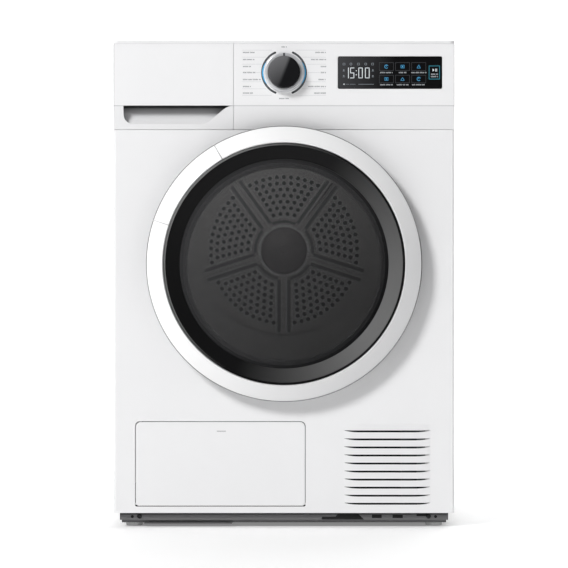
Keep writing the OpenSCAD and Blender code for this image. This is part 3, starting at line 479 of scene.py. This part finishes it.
looks = {
    "white_sheet": finish("whiteSheet", (234, 234, 235), 0.36, grain=900, bump=0.05, coat=0.15),
    "white_plastic": finish("whitePlastic", (234, 234, 235), 0.4, grain=1400, bump=0.06),
    "door_white": finish("doorWhite", (236, 236, 237), 0.3, grain=900, bump=0.02, coat=0.3),
    "zinc_sheet": zincSheet("zincSheet", (172, 176, 180)),
    "stainless": finish("stainless", (190, 191, 193), 0.3, 1.0, grain=260, bump=0.03, stretch=(1, 12, 1)),
    "drum_wall": finish("drumWall", (150, 151, 154), 0.5, 0.2, grain=300, bump=0.03),
    "steel_part": finish("steelPart", (150, 152, 156), 0.38, 0.9, grain=500, bump=0.04),
    "base_grey": finish("baseGrey", (92, 94, 98), 0.55, grain=1500, bump=0.12, mottle=0.04),
    "light_grey": finish("lightGrey", (176, 178, 181), 0.48, grain=1200, bump=0.08),
    "inner_grey": finish("innerGrey", (128, 130, 134), 0.5, grain=1200, bump=0.08),
    "black_gloss": finish("blackGloss", (16, 16, 18), 0.14, grain=200, bump=0.005, coat=0.6, drift=0.02),
    "black_plastic": finish("blackPlastic", (24, 24, 26), 0.4, grain=1500, bump=0.1),
    "silver_plastic": finish("silverPlastic", (214, 215, 218), 0.28, 0.35, grain=500, bump=0.01, drift=0.02),
    "dark_glass": finish("darkGlass", (20, 20, 22), 0.1, grain=60, bump=0.004, coat=0.8, drift=0.01),
    "clear_glass": glass("clearGlass", (251, 252, 252), polish=0.25, ior=1.06),
    "seal_rubber": finish("sealRubber", (34, 35, 37), 0.62, grain=700, bump=0.2, mottle=0.06),
    "belt_rubber": finish("beltRubber", (26, 26, 27), 0.7, grain=900, bump=0.25, mottle=0.08),
    "felt": finish("felt", (188, 186, 178), 0.95, grain=2200, bump=0.9, mottle=0.12, bumpSize=0.6),
    "tank_clear": finish("tankClear", (196, 208, 216), 0.25, grain=300, bump=0.03, coat=0.2),
    "board_green": finish("boardGreen", (30, 86, 52), 0.4, grain=700, bump=0.05),
    "cast_black": finish("castBlack", (30, 31, 33), 0.5, 0.2, grain=450, bump=0.3, bumpSize=0.5),
    "motor_steel": finish("motorSteel", (120, 122, 126), 0.4, 0.8, grain=350, bump=0.08),
    "fin_aluminium": finish("finAluminium", (186, 188, 190), 0.36, 0.9, grain=700, bump=0.05),
    "copper": finish("copper", (184, 110, 74), 0.3, 0.95, grain=320, bump=0.04, mottle=0.08),
    "lever_blue": finish("leverBlue", (38, 98, 178), 0.4, grain=1200, bump=0.06),
    "filter_mesh": finish("filterMesh", (96, 99, 104), 0.6, grain=2400, bump=0.5, mottle=0.1, bumpSize=0.4),
    "foot_grey": finish("footGrey", (214, 214, 214), 0.55, grain=1300, bump=0.1),
}
slotOf = {part["node"]: part["material_slot"] for part in frame["record"]["subparts"]}
bodyOf = {node: obj["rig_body"] for node, obj in frame["nodes"].items()}
for node, obj in frame["nodes"].items():
    obj.data.materials.clear()
    obj.data.materials.append(looks[slotOf[node]])
print("stage: materials")


# The ends of the louvres run out to nothing
def taperLouvres(work):
    x0, x1, taper = louvre["x0"], louvre["x1"], louvre["taper"]
    cuts = [x0 + taper * u for u in (0.08, 0.2, 0.35, 0.52, 0.72, 1.0)]
    cuts += [x0 + x1 - c for c in cuts]
    for cut in cuts:
        near = [g for g in list(work.faces) + list(work.edges) + list(work.verts)]
        bmesh.ops.bisect_plane(work, geom=near, dist=1e-6, plane_co=(cut * mm, 0, 0), plane_no=(1, 0, 0))
    for vert in work.verts:
        if not inLouvres(vert.co):
            continue
        x, y, z = (c / mm for c in vert.co)
        u = min(1.0, max(0.0, min(x - x0, x1 - x) / taper))
        share = math.sin(u * math.pi / 2) ** 0.8
        if y < panelY / mm - 0.05:
            vert.co.y = (panelY / mm + (y - panelY / mm) * share - 0.02) * mm
        k = round((z + louvre["slit"] - louvre["first"]) / louvre["pitch"])
        edge = louvre["first"] + k * louvre["pitch"]
        if abs(z - (edge - louvre["slit"])) < 0.4 and 0 <= k < louvre["count"]:
            vert.co.z = (edge - 0.1 - (louvre["slit"] - 0.1) * share) * mm


# Looks that paint shade on the fascia: painted shadow in the grip hollow under its roof, a painted shade line along
# the fold, a darker leaning face below it and dark side edges
def fasciaLook(name, hollow):
    look = finish(name, (234, 234, 235), 0.4, grain=1400, bump=0.06)
    x, y, z = placeOf(look)
    # painted shade: a thin grey line (150) along the fold of the front face
    fold = bandOf(look, z, 735.2, 736.2, 0.5)
    front = ramp(look, y, fasciaY / mm + 1.2, fasciaY / mm + 0.6)
    tint(look, (150, 150, 152), calc(look, "MULTIPLY", calc(look, "MULTIPLY", fold, front), 0.75))
    # painted shade: the leaning face below the fold is painted a little darker (222)
    tint(look, (222, 222, 223), calc(look, "MULTIPLY", ramp(look, z, 736.5, 735.5), 0.5))
    # painted shade: the rounded side edges of the fascia's front are painted dark grey (118)
    edge = calc(look, "MULTIPLY", ramp(look, calc(look, "ABSOLUTE", x), 296.3, 296.9),
                ramp(look, y, -289.0, -290.5))
    tint(look, (118, 118, 120), edge)
    if hollow:
        lean = calc(look, "MULTIPLY", calc(look, "SUBTRACT", 736.0, z), 10.5 / 41)
        depth = calc(look, "SUBTRACT", calc(look, "SUBTRACT", y, fasciaY / mm), lean)
        inside = calc(look, "MULTIPLY", ramp(look, depth, 0.5, 1.0), bandOf(look, z, 704.0, 736.5, 0.3))
        # painted shadow in the grip hollow: grey (196) low down, darker (96) higher and near black (10) right under
        # its roof
        tint(look, (196, 196, 198), calc(look, "MULTIPLY", inside, ramp(look, z, 706, 726)))
        tint(look, (96, 96, 98), calc(look, "MULTIPLY", inside, ramp(look, z, 723, 736)))
        tint(look, (10, 10, 11), calc(look, "MULTIPLY", inside, ramp(look, z, 731.5, 735.2)))
    return look


# Shell parts: the CAD shape with its edges rounded. Width of the rounding in mm, segments
softened = {
    "front_panel": (0.6, 3), "control_panel": (0.5, 3), "tank_front": (0.5, 3), "worktop": (0.7, 3),
    "left_side_panel": (0.5, 2), "right_side_panel": (0.5, 2), "rear_panel": (0.4, 2), "rear_duct_cover": (0.8, 3),
    "access_flap": (0.6, 3), "base_tray": (0.9, 3), "front_bulkhead": (0.6, 2), "door_inner_frame": (0.5, 2),
    "tank_body": (0.8, 3), "tank_lid": (0.5, 2), "tank_housing": (0.5, 2), "drum_lifters": (1.0, 3),
    "hinge_bracket": (0.4, 2), "hinge_arm": (0.6, 2), "latch_hook": (0.4, 2), "door_lock": (0.5, 2),
    "cover_lever_left": (0.6, 2), "cover_lever_right": (0.6, 2), "heat_exchanger_cover": (0.6, 2),
    "lint_filter": (0.5, 2), "mains_inlet": (0.4, 2), "compressor": (0.8, 3), "drive_motor": (0.6, 2),
    "heat_pump_duct": (0.8, 2), "condensate_pump": (0.6, 2), "idler_arm": (0.4, 2), "drain_spigot": (0.3, 2),
}
panelLook = finish("frontPanelWhite", (234, 234, 235), 0.36, grain=900, bump=0.05, coat=0.15)
panelX, panelDepth, _ = placeOf(panelLook)
# painted shade: the rounded side edges of the front panel are painted grey (150)
tint(panelLook, (150, 150, 152), calc(panelLook, "MULTIPLY", ramp(panelLook, panelDepth, -277.5, -278.5),
                                      ramp(panelLook, calc(panelLook, "ABSOLUTE", panelX), 296.4, 297.0)))
baseLook = finish("baseFront", (100, 100, 101), 0.55, grain=1500, bump=0.12, mottle=0.04)
_, _, baseZ = placeOf(baseLook)
# painted shadow: the top of the base front, under the front panel's lower edge, is painted near black (30)
tint(baseLook, (30, 30, 31), ramp(baseLook, baseZ, 19.6, 22.4))
screwLook = finish("screwSteel", (150, 152, 156), 0.38, 0.7, grain=500, bump=0.04)
_, screwY, screwZ = placeOf(screwLook)
# painted shade: screws low down in the front half are painted dark (40), as in the shade under the front panel
tint(screwLook, (40, 40, 41), calc(screwLook, "MULTIPLY", ramp(screwLook, screwZ, 36, 30),
                                   ramp(screwLook, screwY, 0, -10)))
frame["nodes"]["cabinet_screws"].data.materials[0] = screwLook
ownLook = {"front_panel": panelLook, "base_tray": baseLook, "tank_front": fasciaLook("tankFrontWhite", True),
           "control_panel": fasciaLook("controlPanelWhite", False)}
shapers = {"front_panel": taperLouvres}
for node, (width, segments) in softened.items():
    part = bevelledCopy(node + "Shape", node, ownLook.get(node, looks[slotOf[node]]), width, segments,
                        smoothAngle=12 if node == "front_panel" else 40, shape=shapers.get(node))
    add(part, bodyOf[node], slotOf[node])
print("stage: softened shells")


# Door: the ring, its grip, the dark rim and the pane, all turned about the door's own axis
def quarter(r, y, radius, start, end, steps=5):
    angle = np.radians(np.linspace(start, end, steps + 1))
    return [[r + radius * math.cos(a), y + radius * math.sin(a)] for a in angle]


ring = {"inner": 210.5, "outer": 240.0, "front": -320.0, "fall": 9.0, "skin": 3.0, "back": -284.0, "gripBack": -294.0,
        "gripStart": 120.5, "gripEnd": 161.5, "seam": 0.12, "notch": 10.6, "notchY": -309.2}


def ringFace(w):
    r0, r1, y = ring["inner"] + w, ring["outer"] - w, ring["front"] + w
    return ([[r0, y + 12]] + quarter(r0 + 2.6, y + 2.6, 2.6, 180, 270 - 22)
            + [[r0 + 12, y + 3.7], [r1 - 5, y + ring["fall"]], [r1 - 2.6, y + 10.0], [r1 - 0.9, y + 11.3], [r1, y + 13]])


def ringProfile(back):
    outer = ring["outer"]
    edge = [[outer, back - 6], [outer - 0.6, back - 3.6], [outer - 2.2, back - 1.4], [outer - 6, back],
            [outer - 9, back], [outer - 9, back - 3], [outer - 5.5, back - 4.5], [outer - 3, back - 8]]
    foot = [[ring["inner"] + ring["skin"], ring["back"] - 5], [ring["inner"], ring["back"] - 5]]
    return ringFace(0) + edge + ringFace(ring["skin"])[::-1] + foot


doorMiddle = (doorCentre.x / mm, doorCentre.z / mm)
# Painted light and shade of the door: the ring's lit (left) and shaded (right) sides, its dark outer edge, and the
# grey painted on one side of the dark rim and of its lip
shade = {"left": (252, 252, 252), "right": (210, 210, 211), "outerEdgeShade": (104, 104, 106), "edgeRadius": 238.2,
         "rimPeak": -25, "rimGrey": (96, 96, 96), "lipPeak": 152, "lipGrey": (150, 150, 150)}
ringLook = finish("ringWhite", shade["left"], 0.34, grain=900, bump=0.02, coat=0.15)
ringX, _, ringZ = placeOf(ringLook)
# painted shade: the ring turns from near white (252) at the upper left to grey (210) at the lower right
tint(ringLook, shade["right"],
     ramp(ringLook, along(ringLook, ringX, ringZ, doorMiddle, (0.88, -0.48)), -205, 205))
ringRadius = radiusFrom(ringLook, ringX, ringZ, doorMiddle)
for seamAngle, strength in ((ring["gripStart"], 1.0), (ring["gripEnd"], 0.3)):
    out = (math.cos(math.radians(seamAngle)), math.sin(math.radians(seamAngle)))
    across = along(ringLook, ringX, ringZ, doorMiddle, (-out[1], out[0]))
    side = ramp(ringLook, along(ringLook, ringX, ringZ, doorMiddle, out), 100, 110)
    line = calc(ringLook, "MULTIPLY", bandOf(ringLook, across, -0.75, 0.75, 0.3), side)
    tint(ringLook, (84, 84, 86), calc(ringLook, "MULTIPLY", line, strength))
# painted shade: the ring's outermost edge is painted dark grey (104)
tint(ringLook, shade["outerEdgeShade"], ramp(ringLook, ringRadius, shade["edgeRadius"], shade["edgeRadius"] + 0.7))


# A dark finish with painted light: it turns grey towards one side of the door, where light would catch it; peak is
# that side's angle in degrees
def sidedDark(name, level, peak, roughness, specular):
    look = finish(name, (14, 14, 15), roughness, grain=200, bump=0.004, drift=0.01, specular=specular)
    x, y, z = placeOf(look)
    direction = (math.cos(math.radians(peak)), math.sin(math.radians(peak)))
    share = calc(look, "DIVIDE", along(look, x, z, doorMiddle, direction), radiusFrom(look, x, z, doorMiddle))
    tint(look, level, calc(look, "POWER", calc(look, "MAXIMUM", share, 0.0), 1.2, clamp=True))
    return look


ringBack = ringProfile(ring["back"])
shallow = [[r, min(y, ring["notchY"])] for r, y in ringFace(0)]
shallow[0] = [ring["inner"], ring["notchY"]]
arcs = [
    ("doorRingUpper", ringBack, ring["notch"], ring["gripStart"] - ring["seam"], 220),
    ("doorRingLower", ringBack, ring["gripEnd"] + ring["seam"], 360 - ring["notch"], 360),
    ("doorRingHinge", shallow, -ring["notch"], ring["notch"], 40),
]
for name, profile, start, end, segments in arcs:
    part = turnedPiece(name, profile, doorCentre, ringLook, segments, start, end)
    add(part, "door", "door_white", "door_ring")
grip = turnedPiece("doorGrip", ringProfile(ring["gripBack"]), doorCentre, ringLook, 90,
                   ring["gripStart"] + ring["seam"], ring["gripEnd"] - ring["seam"])
add(grip, "door", slotOf["handle_insert"], "handle_insert")

# painted light: the dark rim turns grey (96) towards the right, its lip pale grey (150) towards the upper left
rimLook = sidedDark("rimDark", shade["rimGrey"], shade["rimPeak"], 0.5, 0.12)
lipLook = sidedDark("lipDark", shade["lipGrey"], shade["lipPeak"], 0.4, 0.1)
paneLook = glass("smokedPane", (186, 185, 184), polish=0.2, ior=1.25)
paneX, _, paneZ = placeOf(paneLook)
# painted light: the pane glows grey (41) at the upper left, fading to (12) at the lower right
glowVeil(paneLook, (41, 41, 42), (12, 12, 13),
     ramp(paneLook, along(paneLook, paneX, paneZ, doorMiddle, (0.86, -0.5)), -170, 190))
bezelProfile = [[182.2, -299.6], [183.6, -300.2], [185, -301], [206.2, -312.1], [206.2, -308.2], [186, -296.8],
                [182.2, -296.2]]
bezel = turnedPiece("doorBezel", bezelProfile, doorCentre, rimLook, 360)
add(bezel, "door", slotOf["door_window"], "door_window")
lipProfile = [[206.3, -312.1], [207.0, -312.7], [207.9, -313.0], [208.9, -312.8], [209.6, -312.2], [209.8, -311.4],
              [209.8, -309], [206.3, -308.2]]
lip = turnedPiece("doorBezelLip", lipProfile, doorCentre, lipLook, 360)
add(lip, "door", slotOf["door_window"], "door_window")
paneProfile = [[0, -304.5], [60, -304.2], [120, -303.1], [161, -302], [178, -300.6], [181.4, -299.8], [181.8, -299.0],
               [181.8, -296.4], [161, -297.8], [120, -299.0], [60, -300.2], [0, -300.5]]
pane = turnedPiece("doorPane", paneProfile, doorCentre, paneLook, 300)
add(pane, "door", slotOf["door_window"], "door_window")
print("stage: door")

# Drum end: a dark plate behind the holes, painted shade for the dark seen through them; pressed grooves beside the
# spokes, painted darker grey as painted shade; rims of the holes and raised strips, painted pale as painted
# highlight; hub
drumX, drumZ = drumCentre.x / mm, drumCentre.z / mm
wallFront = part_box("drum_rear_wall")[1].y - 1.5 * mm
end = {"pitch": 13.6, "hole": 4.2, "first": 70.0, "last": 151.0, "side": 20.0, "spokes": 5}
# painted shade: the plate seen through the holes is near black (10)
looks["holeDark"] = finish("holeDark", (10, 10, 11), 0.8, grain=200, bump=0.02)
# painted shade and highlight: grooves in darker grey (96), raised strips and hole rims in pale grey (206)
looks["groove"] = finish("grooveDark", (96, 97, 99), 0.5, grain=400, bump=0.02)
looks["raised"] = finish("raisedPale", (206, 207, 209), 0.45, grain=400, bump=0.02)
looks["endWall"] = finish("endWall", (172, 171, 170), 0.5, 0.1, grain=300, bump=0.02)
looks["hub"] = finish("hubGrey", (122, 118, 119), 0.42, grain=600, bump=0.04)
endShape = bevelledCopy("drumEndShape", "drum_rear_wall", looks["endWall"], 0.3, 1)
add(endShape, "drum", slotOf["drum_rear_wall"])
backPlate = turnedPiece("drumEndBacking", [[41, 227.2], [160, 227.2], [160, 228.2], [41, 228.2]], drumCentre,
                        looks["holeDark"], 90)
add(backPlate, "drum", slotOf["drum_rear_wall"])


def spokeStrip(angle, offset, r0, r1, w):
    out = np.array([math.cos(math.radians(angle)), math.sin(math.radians(angle))])
    side = np.array([-out[1], out[0]]) * offset
    a, b = out * r0 + side, out * r1 + side
    return slanted(drumX + a[0], drumZ + a[1], drumX + b[0], drumZ + b[1], w)


grooves, raised = [], band(drumX, drumZ, 44.6, 49.6, 0, 360, 72)
for k in range(end["spokes"]):
    spoke = 54 + 72 * k
    for side in (-1, 1):
        grooves.append(spokeStrip(spoke, side * 10.4, 57, 158, 8.0))
        raised.append(spokeStrip(spoke, side * 3.4, 48, 158, 3.4))
        raised.append(spokeStrip(spoke, side * 15.6, 66, 156, 1.6))
    grooves += band(drumX, drumZ, 52.5, 61.0, spoke + 12, spoke + 60, 16)
    raised += band(drumX, drumZ, 62.0, 63.6, spoke + 16, spoke + 56, 14)
    row = 0
    while end["first"] + row * end["pitch"] * math.sin(math.radians(60)) <= end["last"]:
        r = end["first"] + row * end["pitch"] * math.sin(math.radians(60))
        step = 2 * math.degrees(math.asin(end["pitch"] / 2 / r))
        half = 180 / end["spokes"] - math.degrees(math.asin(end["side"] / r))
        count = int(2 * half / step + row % 2) + 1 - row % 2
        for i in range(count):
            a = math.radians(spoke + 36 + (i - (count - 1) / 2) * step)
            raised += band(drumX + r * math.cos(a), drumZ + r * math.sin(a), end["hole"] + 0.1, 5.7, 0, 360, 10)
        row += 1
for name, shapes, look, lift in (("drumGrooves", grooves, "groove", 0.1), ("drumRaised", raised, "raised", 0.2)):
    add(printed(name, shapes, wallFront, looks[look], lift), "drum", slotOf["drum_rear_wall"])
hubProfile = ([[0, 210.6], [4, 210.8], [5, 212.2], [7, 212.4]]
              + [[44 * math.sin(math.radians(a)), 221 - 10 * math.cos(math.radians(a))] for a in range(12, 85, 6)]
              + [[43.9, 222.0], [43.9, 224.8], [0, 224.8]])
hub = turnedPiece("hubCoverShape", hubProfile, drumCentre, looks["hub"], 96)
add(hub, "drum", slotOf["hub_cover"], "hub_cover")
print("stage: drum end")

# Selector: gloss cap in a pale collar
capProfile = ([[0, -312.9], [12, -313.1], [22, -313.7]] + quarter(26.2, -312.4, 1.6, -90, 0)
              + [[27.8, -300], [0, -300]])
capLook = finish("capGloss", (20, 20, 22), 0.3, grain=200, bump=0.004, drift=0.01, specular=0.1)
capX, _, capZ = placeOf(capLook)
dialMiddle = (dialCentre.x / mm, dialCentre.z / mm)
# painted reflection: the gloss cap is painted grey (104) on its upper left, with a sharp diagonal edge
capReflection = calc(capLook, "MULTIPLY", ramp(capLook, along(capLook, capX, capZ, dialMiddle, (-0.93, 0.36)), -3, 3),
             ramp(capLook, along(capLook, capX, capZ, dialMiddle, (-0.5, 0.86)), -26, 26))
tint(capLook, (104, 104, 106), capReflection)
cap = turnedPiece("dialCapShape", capProfile, dialCentre, capLook, 160)
add(cap, "dial", slotOf["dial_cap"], "dial_cap")
collarProfile = ([[28.1, -300.6], [28.1, -302.6]] + quarter(29.0, -302.6, 0.9, 180, 270) + [[31.6, -303.2]]
                 + quarter(32.0, -301.2, 2.0, -90, 0) + [[34, -292.7], [28.1, -292.7]])
collar = turnedPiece("dialCollarShape", collarProfile, dialCentre, looks["silver_plastic"], 160)
add(collar, "dial", slotOf["dial_collar"], "dial_collar")
looks["ink"] = finish("inkGrey", (70, 72, 76), 0.5, grain=900, bump=0.02)
looks["softInk"] = finish("inkPale", (128, 130, 134), 0.5, grain=900, bump=0.02)
looks["lineInk"] = finish("inkLine", (186, 188, 190), 0.5, grain=900, bump=0.02)
looks["blueInk"] = finish("inkBlue", (70, 168, 218), 0.45, grain=900, bump=0.02)
dialX, dialZ = dialCentre.x / mm, dialCentre.z / mm
tick = printed("dialTick", [bar(dialX - 1.7, dialZ + 27.9, dialX + 1.7, dialZ + 33.4)], -303.4 * mm,
               looks["ink"], 0.15, 0.6)
add(tick, "dial", slotOf["dial_collar"])
print("stage: selector")

# Marks round the selector: two scales, a blue mark on each, lead lines and plain bars for the programme names
marks = {"inner": 36.3, "outer": 39.9, "top": 66.0, "bottom": -67.0, "blueTop": 31, "blueBottom": -34}
scales, blues, leads, words = [], [], [], []
for start, end in ((marks["bottom"], marks["top"]), (180 - marks["top"], 180 - marks["bottom"])):
    scales += band(dialX, dialZ, marks["inner"], marks["outer"], start, end, 40)
    for a in (start, end):
        scales.append(dot(dialX + 38.1 * math.cos(math.radians(a)),
                          dialZ + 38.1 * math.sin(math.radians(a)), 1.8))
for start, end in ((marks["blueBottom"], marks["blueTop"]), (180 - marks["blueTop"], 180 - marks["blueBottom"])):
    for k in range(32):
        a0, a1 = (start + (end - start) * u / 32 for u in (k, k + 1))
        width = 2.4 * math.sin(math.pi * (k + 0.5) / 32) ** 0.6
        blues += band(dialX, dialZ, 35.9, 35.9 + width, a0, a1, 1)
rows = [828.7, 816.4, 804.2, 793.7, 781.5, 769.3, 757.9]
textRng = np.random.default_rng(7)


# A line of print: small upright bars in groups, with no letters in it
def printLine(x0, x1, z, height=2.3, stroke=1.0, gap=0.62):
    out, x, left = [], x0, int(textRng.integers(4, 8))
    while x < x1 - stroke / 2:
        rise = height / 2 * textRng.uniform(0.75, 1.0)
        out.append(bar(x, z - height / 2, x + stroke, z + rise))
        left -= 1
        x += stroke + gap * (3 if left == 0 else 1)
        left = left if left else int(textRng.integers(3, 7))
    return out


# Lengths of the printed programme lines, top to bottom
leftLengths = (20.5, 19.7, 14.1, 22.5, 30.5, 14.5, 16.7)
rightLengths = (18.5, 25.7, 9.0, 9.0, 13.0, 31.0, 20.5)
for k, z in enumerate(rows):
    lineZ = z + (4.0 if k < 3 else 0.0 if k == 3 else -4.0)
    arcX = math.sqrt(max(0.0, 41.5 ** 2 - min(abs(lineZ - dialZ), 36.0) ** 2))
    for side, length in ((-1, leftLengths[k]), (1, rightLengths[k])):
        start = 73.0 - length - 1.6 if k == 3 else 73.0
        if start - arcX > 1.5:
            lineEnds = side * arcX, side * start
            leads.append(bar(min(lineEnds), lineZ - 0.2, max(lineEnds), lineZ + 0.2))
    words += printLine(-71.5, -71.5 + leftLengths[k], z) + printLine(73.2 - rightLengths[k], 73.2, z)
words += printLine(-4.2, 4.2, 838.4) + printLine(-8.5, 8.5, 748.4)
for name, shapes, look in (("scaleArcs", scales, "ink"), ("blueArcs", blues, "blueInk"), ("leadLines", leads, "lineInk"),
                           ("programmeBars", words, "softInk")):
    lift = 0.16 if name == "blueArcs" else 0.1
    add(printed(name, shapes, fasciaY, looks[look], lift), "cabinet", "black_plastic")
print("stage: fascia marks")

# Display: dark window with a soft edge, and what it shows
lensLow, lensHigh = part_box("display_window")
lensOutline = roundRect(lensLow.x / mm, lensLow.z / mm, lensHigh.x / mm, lensHigh.z / mm, 2.6)
lensLook = finish("displayGlass", (12, 12, 13), 0.3, grain=60, bump=0.004, drift=0.01, specular=0.1)
lensX, _, lensZ = placeOf(lensLook)
# painted reflection: the display window turns lighter grey (66) towards its upper left
tint(lensLook, (66, 66, 68),
     ramp(lensLook, along(lensLook, lensX, lensZ, (165.0, 793.6), (-0.94, 0.34)), -20, 80))
lens = plate("displayWindowShape", lensOutline, softEdge(lensLow.y / mm, lensHigh.y / mm, 0.5), lensLook)
add(lens, "cabinet", slotOf["display_window"], "display_window")
looks["litWhite"] = finish("litWhite", (226, 232, 236), 0.5, bump=0.01)
looks["litGrey"] = finish("litGrey", (122, 128, 134), 0.5, bump=0.01)
looks["litBlue"] = finish("litBlue", (64, 150, 196), 0.5, bump=0.01)
looks["litWord"] = finish("litWord", (176, 180, 184), 0.5, bump=0.01)
looks["litTeal"] = finish("litTeal", (50, 140, 160), 0.5, bump=0.01)
looks["keyLine"] = finish("keyLine", (66, 68, 72), 0.5, bump=0.01)

# Seven strokes of a digit: top, upper left, upper right, middle, lower left, lower right, bottom
strokes = {"0": "1110111", "1": "0010010", "5": "1101011"}


def digit(mark, x, z, w, h, t):
    mid = z + h / 2
    spots = [bar(x, z + h - t, x + w, z + h), bar(x, mid, x + t, z + h), bar(x + w - t, mid, x + w, z + h),
             bar(x, mid - t / 2, x + w, mid + t / 2), bar(x, z, x + t, mid), bar(x + w - t, z, x + w, mid),
             bar(x, z, x + w, z + t)]
    return [s for s, on in zip(spots, strokes[mark]) if on == "1"]


white, grey, blue, teal, lines, keyText = [], [], [], [], [], []
keyWords = ((22.0, 12.5, 25.5), (21.5, 20.0, 23.0))
for mark, x, w in zip("1500", (109.6, 115.3, 129.6, 141.2), (3.4, 7.2, 7.6, 8.0)):
    white += digit(mark, x, 783.6, w, 18.7, 1.3)
white += [dot(126.0, 789.8, 0.9), dot(126.0, 796.8, 0.9)]
for k, x in enumerate((104.6, 116.7, 129.8, 142.4, 154.4)):
    grey += band(x, 808.4, 1.4, 2.3, 0, 360, 14) if k % 2 else frameLines(x - 2.1, 806.4, x + 2.1, 810.4, 0.7)
for x in (104.2, 154.8):
    for z in (797.9, 787.8):
        grey += [dot(x, z, 1.3), bar(x - 1.9, z - 2.3, x + 1.9, z - 1.7)]
white += [dot(104.6, 773.3, 1.1)]
grey += printLine(107.5, 126.0, 773.3, 1.3) + [bar(129.6, 772.8, 156.8, 773.6)]
for row, (z0, z1) in enumerate(((796.8, 811.2), (775.6, 789.2))):
    for col, (x0, x1) in enumerate(((165.9, 191.1), (194.1, 219.2), (222.3, 247.4))):
        lines += frameLines(x0, z0, x1, z1, 0.5)
        cx, cz = (x0 + x1) / 2, (z0 + z1) / 2
        if (row + col) % 3 == 0:
            blue += band(cx, cz, 2.4, 3.5, 20, 320, 18) + [bar(cx - 0.5, cz, cx + 0.5, cz + 2.2)]
        elif (row + col) % 3 == 1:
            blue += frameLines(cx - 3.2, cz - 2.8, cx + 3.2, cz + 2.8, 0.8) + [dot(cx, cz, 1.3)]
        else:
            blue += [slanted(cx - 3, cz - 2.6, cx, cz + 2.8, 0.9), slanted(cx, cz + 2.8, cx + 3, cz - 2.6, 0.9),
                     bar(cx - 3, cz - 3, cx + 3, cz - 2.2)]
        half = keyWords[row][col] / 2
        keyText += printLine(cx - half, cx + half, z0 - 3.2, 2.2, 0.9)
teal += frameLines(252.5, 781.8, 271.6, 805.6, 0.9)
white += [np.array([[259.0, 800.6], [259.0, 795.2], [262.2, 797.9]]), bar(263.8, 795.4, 264.8, 800.4),
          bar(265.8, 795.4, 266.8, 800.4)]
keyText += printLine(256.2, 268.0, 790.8, 2.4, 1.0) + printLine(256.2, 268.0, 786.6, 2.4, 1.0)
for name, shapes, look in (("displayWhite", white, "litWhite"), ("displayGrey", grey, "litGrey"),
                           ("displayBlue", blue, "litBlue"), ("displayTeal", teal, "litTeal"),
                           ("displayLines", lines, "keyLine"), ("displayWords", keyText, "litWord")):
    add(printed(name, shapes, lensLow.y, looks[look], 0.08), "cabinet", slotOf["display_window"])
flapMark = [bar(-117.4, 167.3, -101.6, 168.3)]
add(printed("flapMark", flapMark, panelY, looks["softInk"], 0.1), "flap", slotOf["access_flap"])
print("stage: display")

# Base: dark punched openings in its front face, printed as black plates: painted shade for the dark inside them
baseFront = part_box("base_tray")[0].y
openings = [np.array([[96.0, 24.6], [90.0, 17.4], [66.0, 17.4], [66.0, 12.6],
                      [140.0, 12.6], [128.0, 24.6]])[::-1]]
openings += [bar(x, 15.2, x + w, 21.0) for x, w in ((154.0, 17.0), (190.0, 18.0))]
openings += [bar(232.0, 18.6, 252.0, 25.2), bar(208.0, 21.6, 222.0, 24.4),
             dot(-265.6, 17.8, 2.6), dot(265.4, 17.8, 2.6)]
looks["punched"] = finish("punchedDark", (9, 9, 10), 0.8, grain=300, bump=0.02)
add(printed("baseOpenings", openings, baseFront, looks["punched"], 0.06), "cabinet", slotOf["base_tray"])

# Pale strips behind the fascia's seams: painted highlight, standing for the lit moulded edges that show there
looks["seamPale"] = finish("seamPale", (206, 206, 208), 0.5, grain=900, bump=0.02)
seamMiddle = (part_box("tank_front")[1].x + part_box("control_panel")[0].x) / 2 / mm
seamTop = (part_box("control_panel")[1].z / mm + 844.5) / 2
topLine = plate("seamTopLine", roundRect(-296, seamTop - 0.15, 296, seamTop + 0.15, 0.1, 3),
                [(0, -290.6), (0, -288)], looks["seamPale"])
add(topLine, "cabinet", slotOf["control_panel"])
upright = np.array([[-291.2, 843.5], [-291.2, 736.2], [-281.2, 697.5], [-270, 697.5], [-270, 843.5]])
sides = [np.column_stack([np.full(5, seamMiddle + dx), upright]) for dx in (-0.28, 0.28)]
uprightFaces = gridFaces(2, 5, wrapCols=True).tolist() + [[0, 1, 2, 3, 4], [9, 8, 7, 6, 5]]
seamUpright = makeMesh("seamUpright", np.concatenate(sides) * mm, uprightFaces, looks["seamPale"])
add(seamUpright, "cabinet", slotOf["control_panel"])

# Floor: a plain pale sweep that turns up far behind
floorLook = finish("floorPale", (247, 247, 247), 0.7, grain=40, bump=0.004, mottle=0.002, drift=0.02)
floorLook.node_tree.nodes["Principled BSDF"].inputs["Emission Color"].default_value = (1, 1, 1, 1)
_, floorY, _ = placeOf(floorLook)
glow = calc(floorLook, "ADD", calc(floorLook, "MULTIPLY", ramp(floorLook, floorY, 600, 2200), 0.66), 0.2)
floorLook.node_tree.links.new(glow, floorLook.node_tree.nodes["Principled BSDF"].inputs["Emission Strength"])
sweep = [[-7.0, 0.0], [-3.0, 0.0], [0.0, 0.0], [3.2, 0.0]]
sweep += [[3.2 + 1.6 * math.sin(a), 1.6 - 1.6 * math.cos(a)] for a in np.radians(np.linspace(8, 90, 12))]
sweep += [[4.8, 4.0], [4.8, 6.5]]
across = np.linspace(-7, 7, 15)
grid = np.array([[[x, y, z] for x in across] for y, z in sweep])
floor = makeMesh("paleFloor", grid.reshape(-1, 3), gridFaces(len(sweep), len(across)), floorLook)
